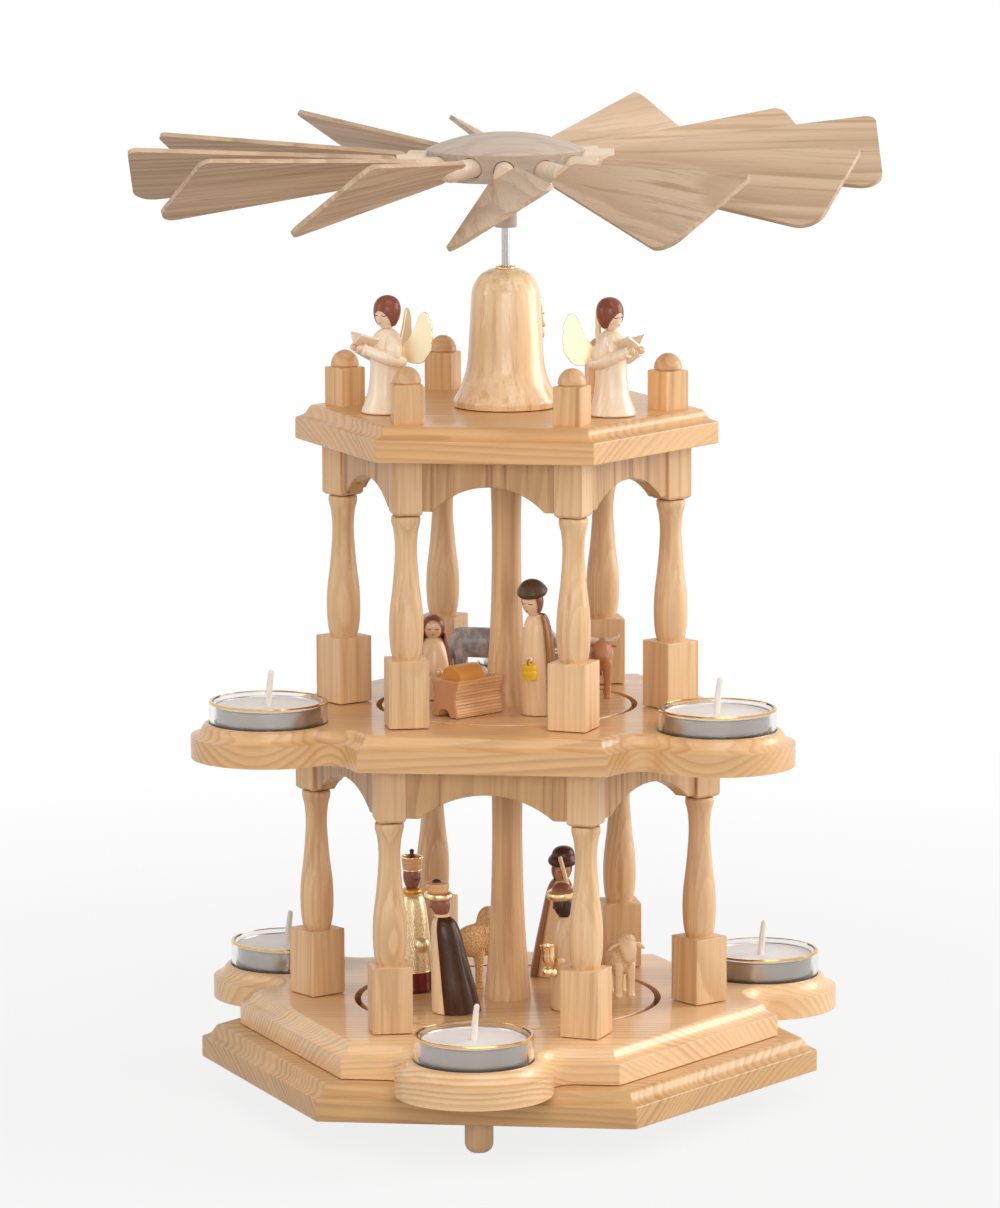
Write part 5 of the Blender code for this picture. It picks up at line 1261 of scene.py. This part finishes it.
def animal(name, matrix, shape, finish, eyes, extras=(), nodes=()):
    """An animal whose carved parts are blended into one skin."""
    obj = piece(f"{name}_body", moved(joined(*shape), matrix), finish, "carousel", nodes, sharp=180)
    skin = obj.modifiers.new("skin", "REMESH")
    skin.mode = "VOXEL"
    skin.voxel_size = SKIN_VOXEL
    skin.use_smooth_shade = True
    soften = obj.modifiers.new("soften", "SMOOTH")
    soften.factor = 0.5
    soften.iterations = 4
    for part, bm, part_finish in extras:
        piece(f"{name}_{part}", moved(bm, matrix), part_finish, "carousel", **SOFT)
    piece(f"{name}_eyes", moved(balls(*eyes), matrix), DARKEST_FACE, "carousel")


def make_donkey():
    body = blob([(-20.4, 19.2, 0.9, 1.8), (-19.6, 19.2, 3.0, 4.4), (-16.5, 19.2, 4.2, 5.7),
                 (-9, 18.9, 4.5, 5.9), (0, 18.6, 4.4, 5.9), (6, 19, 4.1, 5.8), (10, 19.4, 3.2, 4.9),
                 (12.4, 19.8, 1.6, 3)])
    neck = limb([(7, 0, 19.4), (12, 0, 21.4), (16, 0, 22.2)], [4.4, 3.6, 2.8])
    muzzle = limb([(15, 0, 22.4), (17.6, 0, 20.6), (20.0, 0, 18.4)], [2.9, 2.6, 2.0], 16)
    ears = limbs([(15, 1.4, 23.2), (14, 2.4, 25.2), (13.7, 2.8, 26.8)], [0.9, 1.2, 0.5], 12, 3, 0.6)
    tail = limb([(-19.4, 0, 21.6), (-20.9, 0, 17), (-20.8, 0, 10)], [0.9, 0.8, 1.0], 10)
    feet = legs([(7.8, -2.4), (7.8, 2.4), (-17.6, 2.4), (-16.4, -2.4)], 15, 1.7, 2.5)
    animal("donkey", figure_place(-4.2, 27.7, 151, 6.6), [body, neck, muzzle, tail, ears, feet], GREY,
           ((0.4, 0.25, 0.4), 17.2, 2.45, 21.6))


def make_ox():
    body = blob([(-9.6, 16, 1.2, 2), (-9.0, 16.1, 3.2, 4.4), (-6.6, 16.1, 4.3, 5.6), (-2, 16.0, 4.5, 5.9),
                 (3, 16.6, 4.2, 5.7), (6, 17.6, 3, 4.6), (7.4, 18, 1.4, 2.6)])
    muzzle = limb([(5.5, 0, 20), (8, 0, 19.6), (9.8, 0, 17.2)], [3.6, 3.4, 2.6], 16)
    horns = limbs([(7.4, 1.8, 22.4), (7.9, 4.4, 23.0), (8.2, 6.2, 24.4)], [1.25, 1.15, 0.6], 12, 4)
    ears = limbs([(6.4, 2.6, 21), (6.2, 5.0, 20.2)], [1.1, 0.8], 10, 3, 0.6)
    feet = legs([(x, y) for x in (3.6, -7.4) for y in (-2.3, 2.3)], 13, 1.4, 2.2)
    tail = limb([(-9.4, 0, 19), (-10.2, 0, 14), (-10.1, 0, 7)], [0.7, 0.6, 0.9], 10)
    animal("ox", figure_place(34, 18.5, UPPER_FLOOR, -83), [body, muzzle, tail, ears, feet], OX_BROWN,
           ((0.35, 0.3, 0.4), 9.2, 2.4, 20.4), [("horns", horns, HORN)], "ox")


def make_camel():
    body = blob([(-16.8, 17.8, 1.4, 2), (-16.0, 18, 3.6, 4.6), (-12, 18.2, 5.2, 6.2), (-4, 18.4, 5.8, 6.6),
                 (3, 18.2, 5.2, 6.2), (6.6, 18.6, 3.4, 4.8), (8, 19, 1.6, 3)])
    hump = ball((4.8, 3.4, 6.2), (-3.6, 0, 24.8))
    neck = limb([(4.5, 0, 19), (7.6, 0, 19.4), (8.4, 0, 24), (8.0, 0, 28)], [3.4, 2.7, 2.2, 2.0])
    muzzle = limb([(7.2, 0, 29.6), (9.4, 0, 28.8), (11.0, 0, 27.4)], [2.2, 2.0, 1.5], 16)
    ears = limbs([(6.8, 1.4, 30.4), (6.4, 2.2, 32)], [0.8, 0.5], 10)
    feet = legs([(3.5, -2.9), (3.5, 2.9), (-9.4, -2.9), (-13.4, 2.9)], 15, 1.6, 2.4)
    animal("camel", figure_place(-7.1, 21.3, 38, 40), [body, hump, neck, muzzle, ears, feet], CAMEL_HAIR,
           ((0.4, 0.3, 0.4), 9.2, 1.9, 29.4))


def make_sheep():
    body = blob([(-9.2, 13.6, 1.4, 2), (-8.7, 13.7, 3.8, 4.6), (-6, 13.7, 5.3, 6.0), (-2, 13.7, 5.7, 6.2),
                 (2.2, 14, 5.0, 5.8), (4.6, 14.8, 3.2, 4.4), (5.4, 15, 1.4, 2.4)])
    cap = ball((3.0, 3.6, 2.6), (5.2, 0, 21.8))
    neck = ball((3.2, 3.4, 4.4), (4.0, 0, 18.2))
    muzzle = limb([(5.4, 0, 20.4), (7.4, 0, 18.6), (8.2, 0, 16.2)], [3.2, 3.1, 2.5], 18)
    ears = limbs([(5.4, 2.6, 20.6), (5.2, 4.8, 20.0), (5.0, 6.8, 18.6)], [0.9, 1.3, 0.7], 12, 3, 0.5)
    feet = legs([(x, y) for x in (3.4, -6.4) for y in (-2.5, 2.5)], 12, 1.35, 1.9, 0.2)
    animal("sheep", figure_place(42.8, 8.6, 38, -64), [body, cap, neck], SHEEP_WOOL,
           ((0.35, 0.3, 0.42), 7.7, 2.6, 19.4), [("head", joined(muzzle, ears, feet), SHEEP_SKIN)])


for number, (angle, glance) in enumerate(((210, 30), (330, -4), (90, 0)), 1):
    make_angel(number, angle, glance)
for make in (make_gold_king, make_cloaked_king, make_goblet_king, make_herdsman, make_woman, make_man,
             make_crib, make_donkey, make_ox, make_camel, make_sheep):
    make()
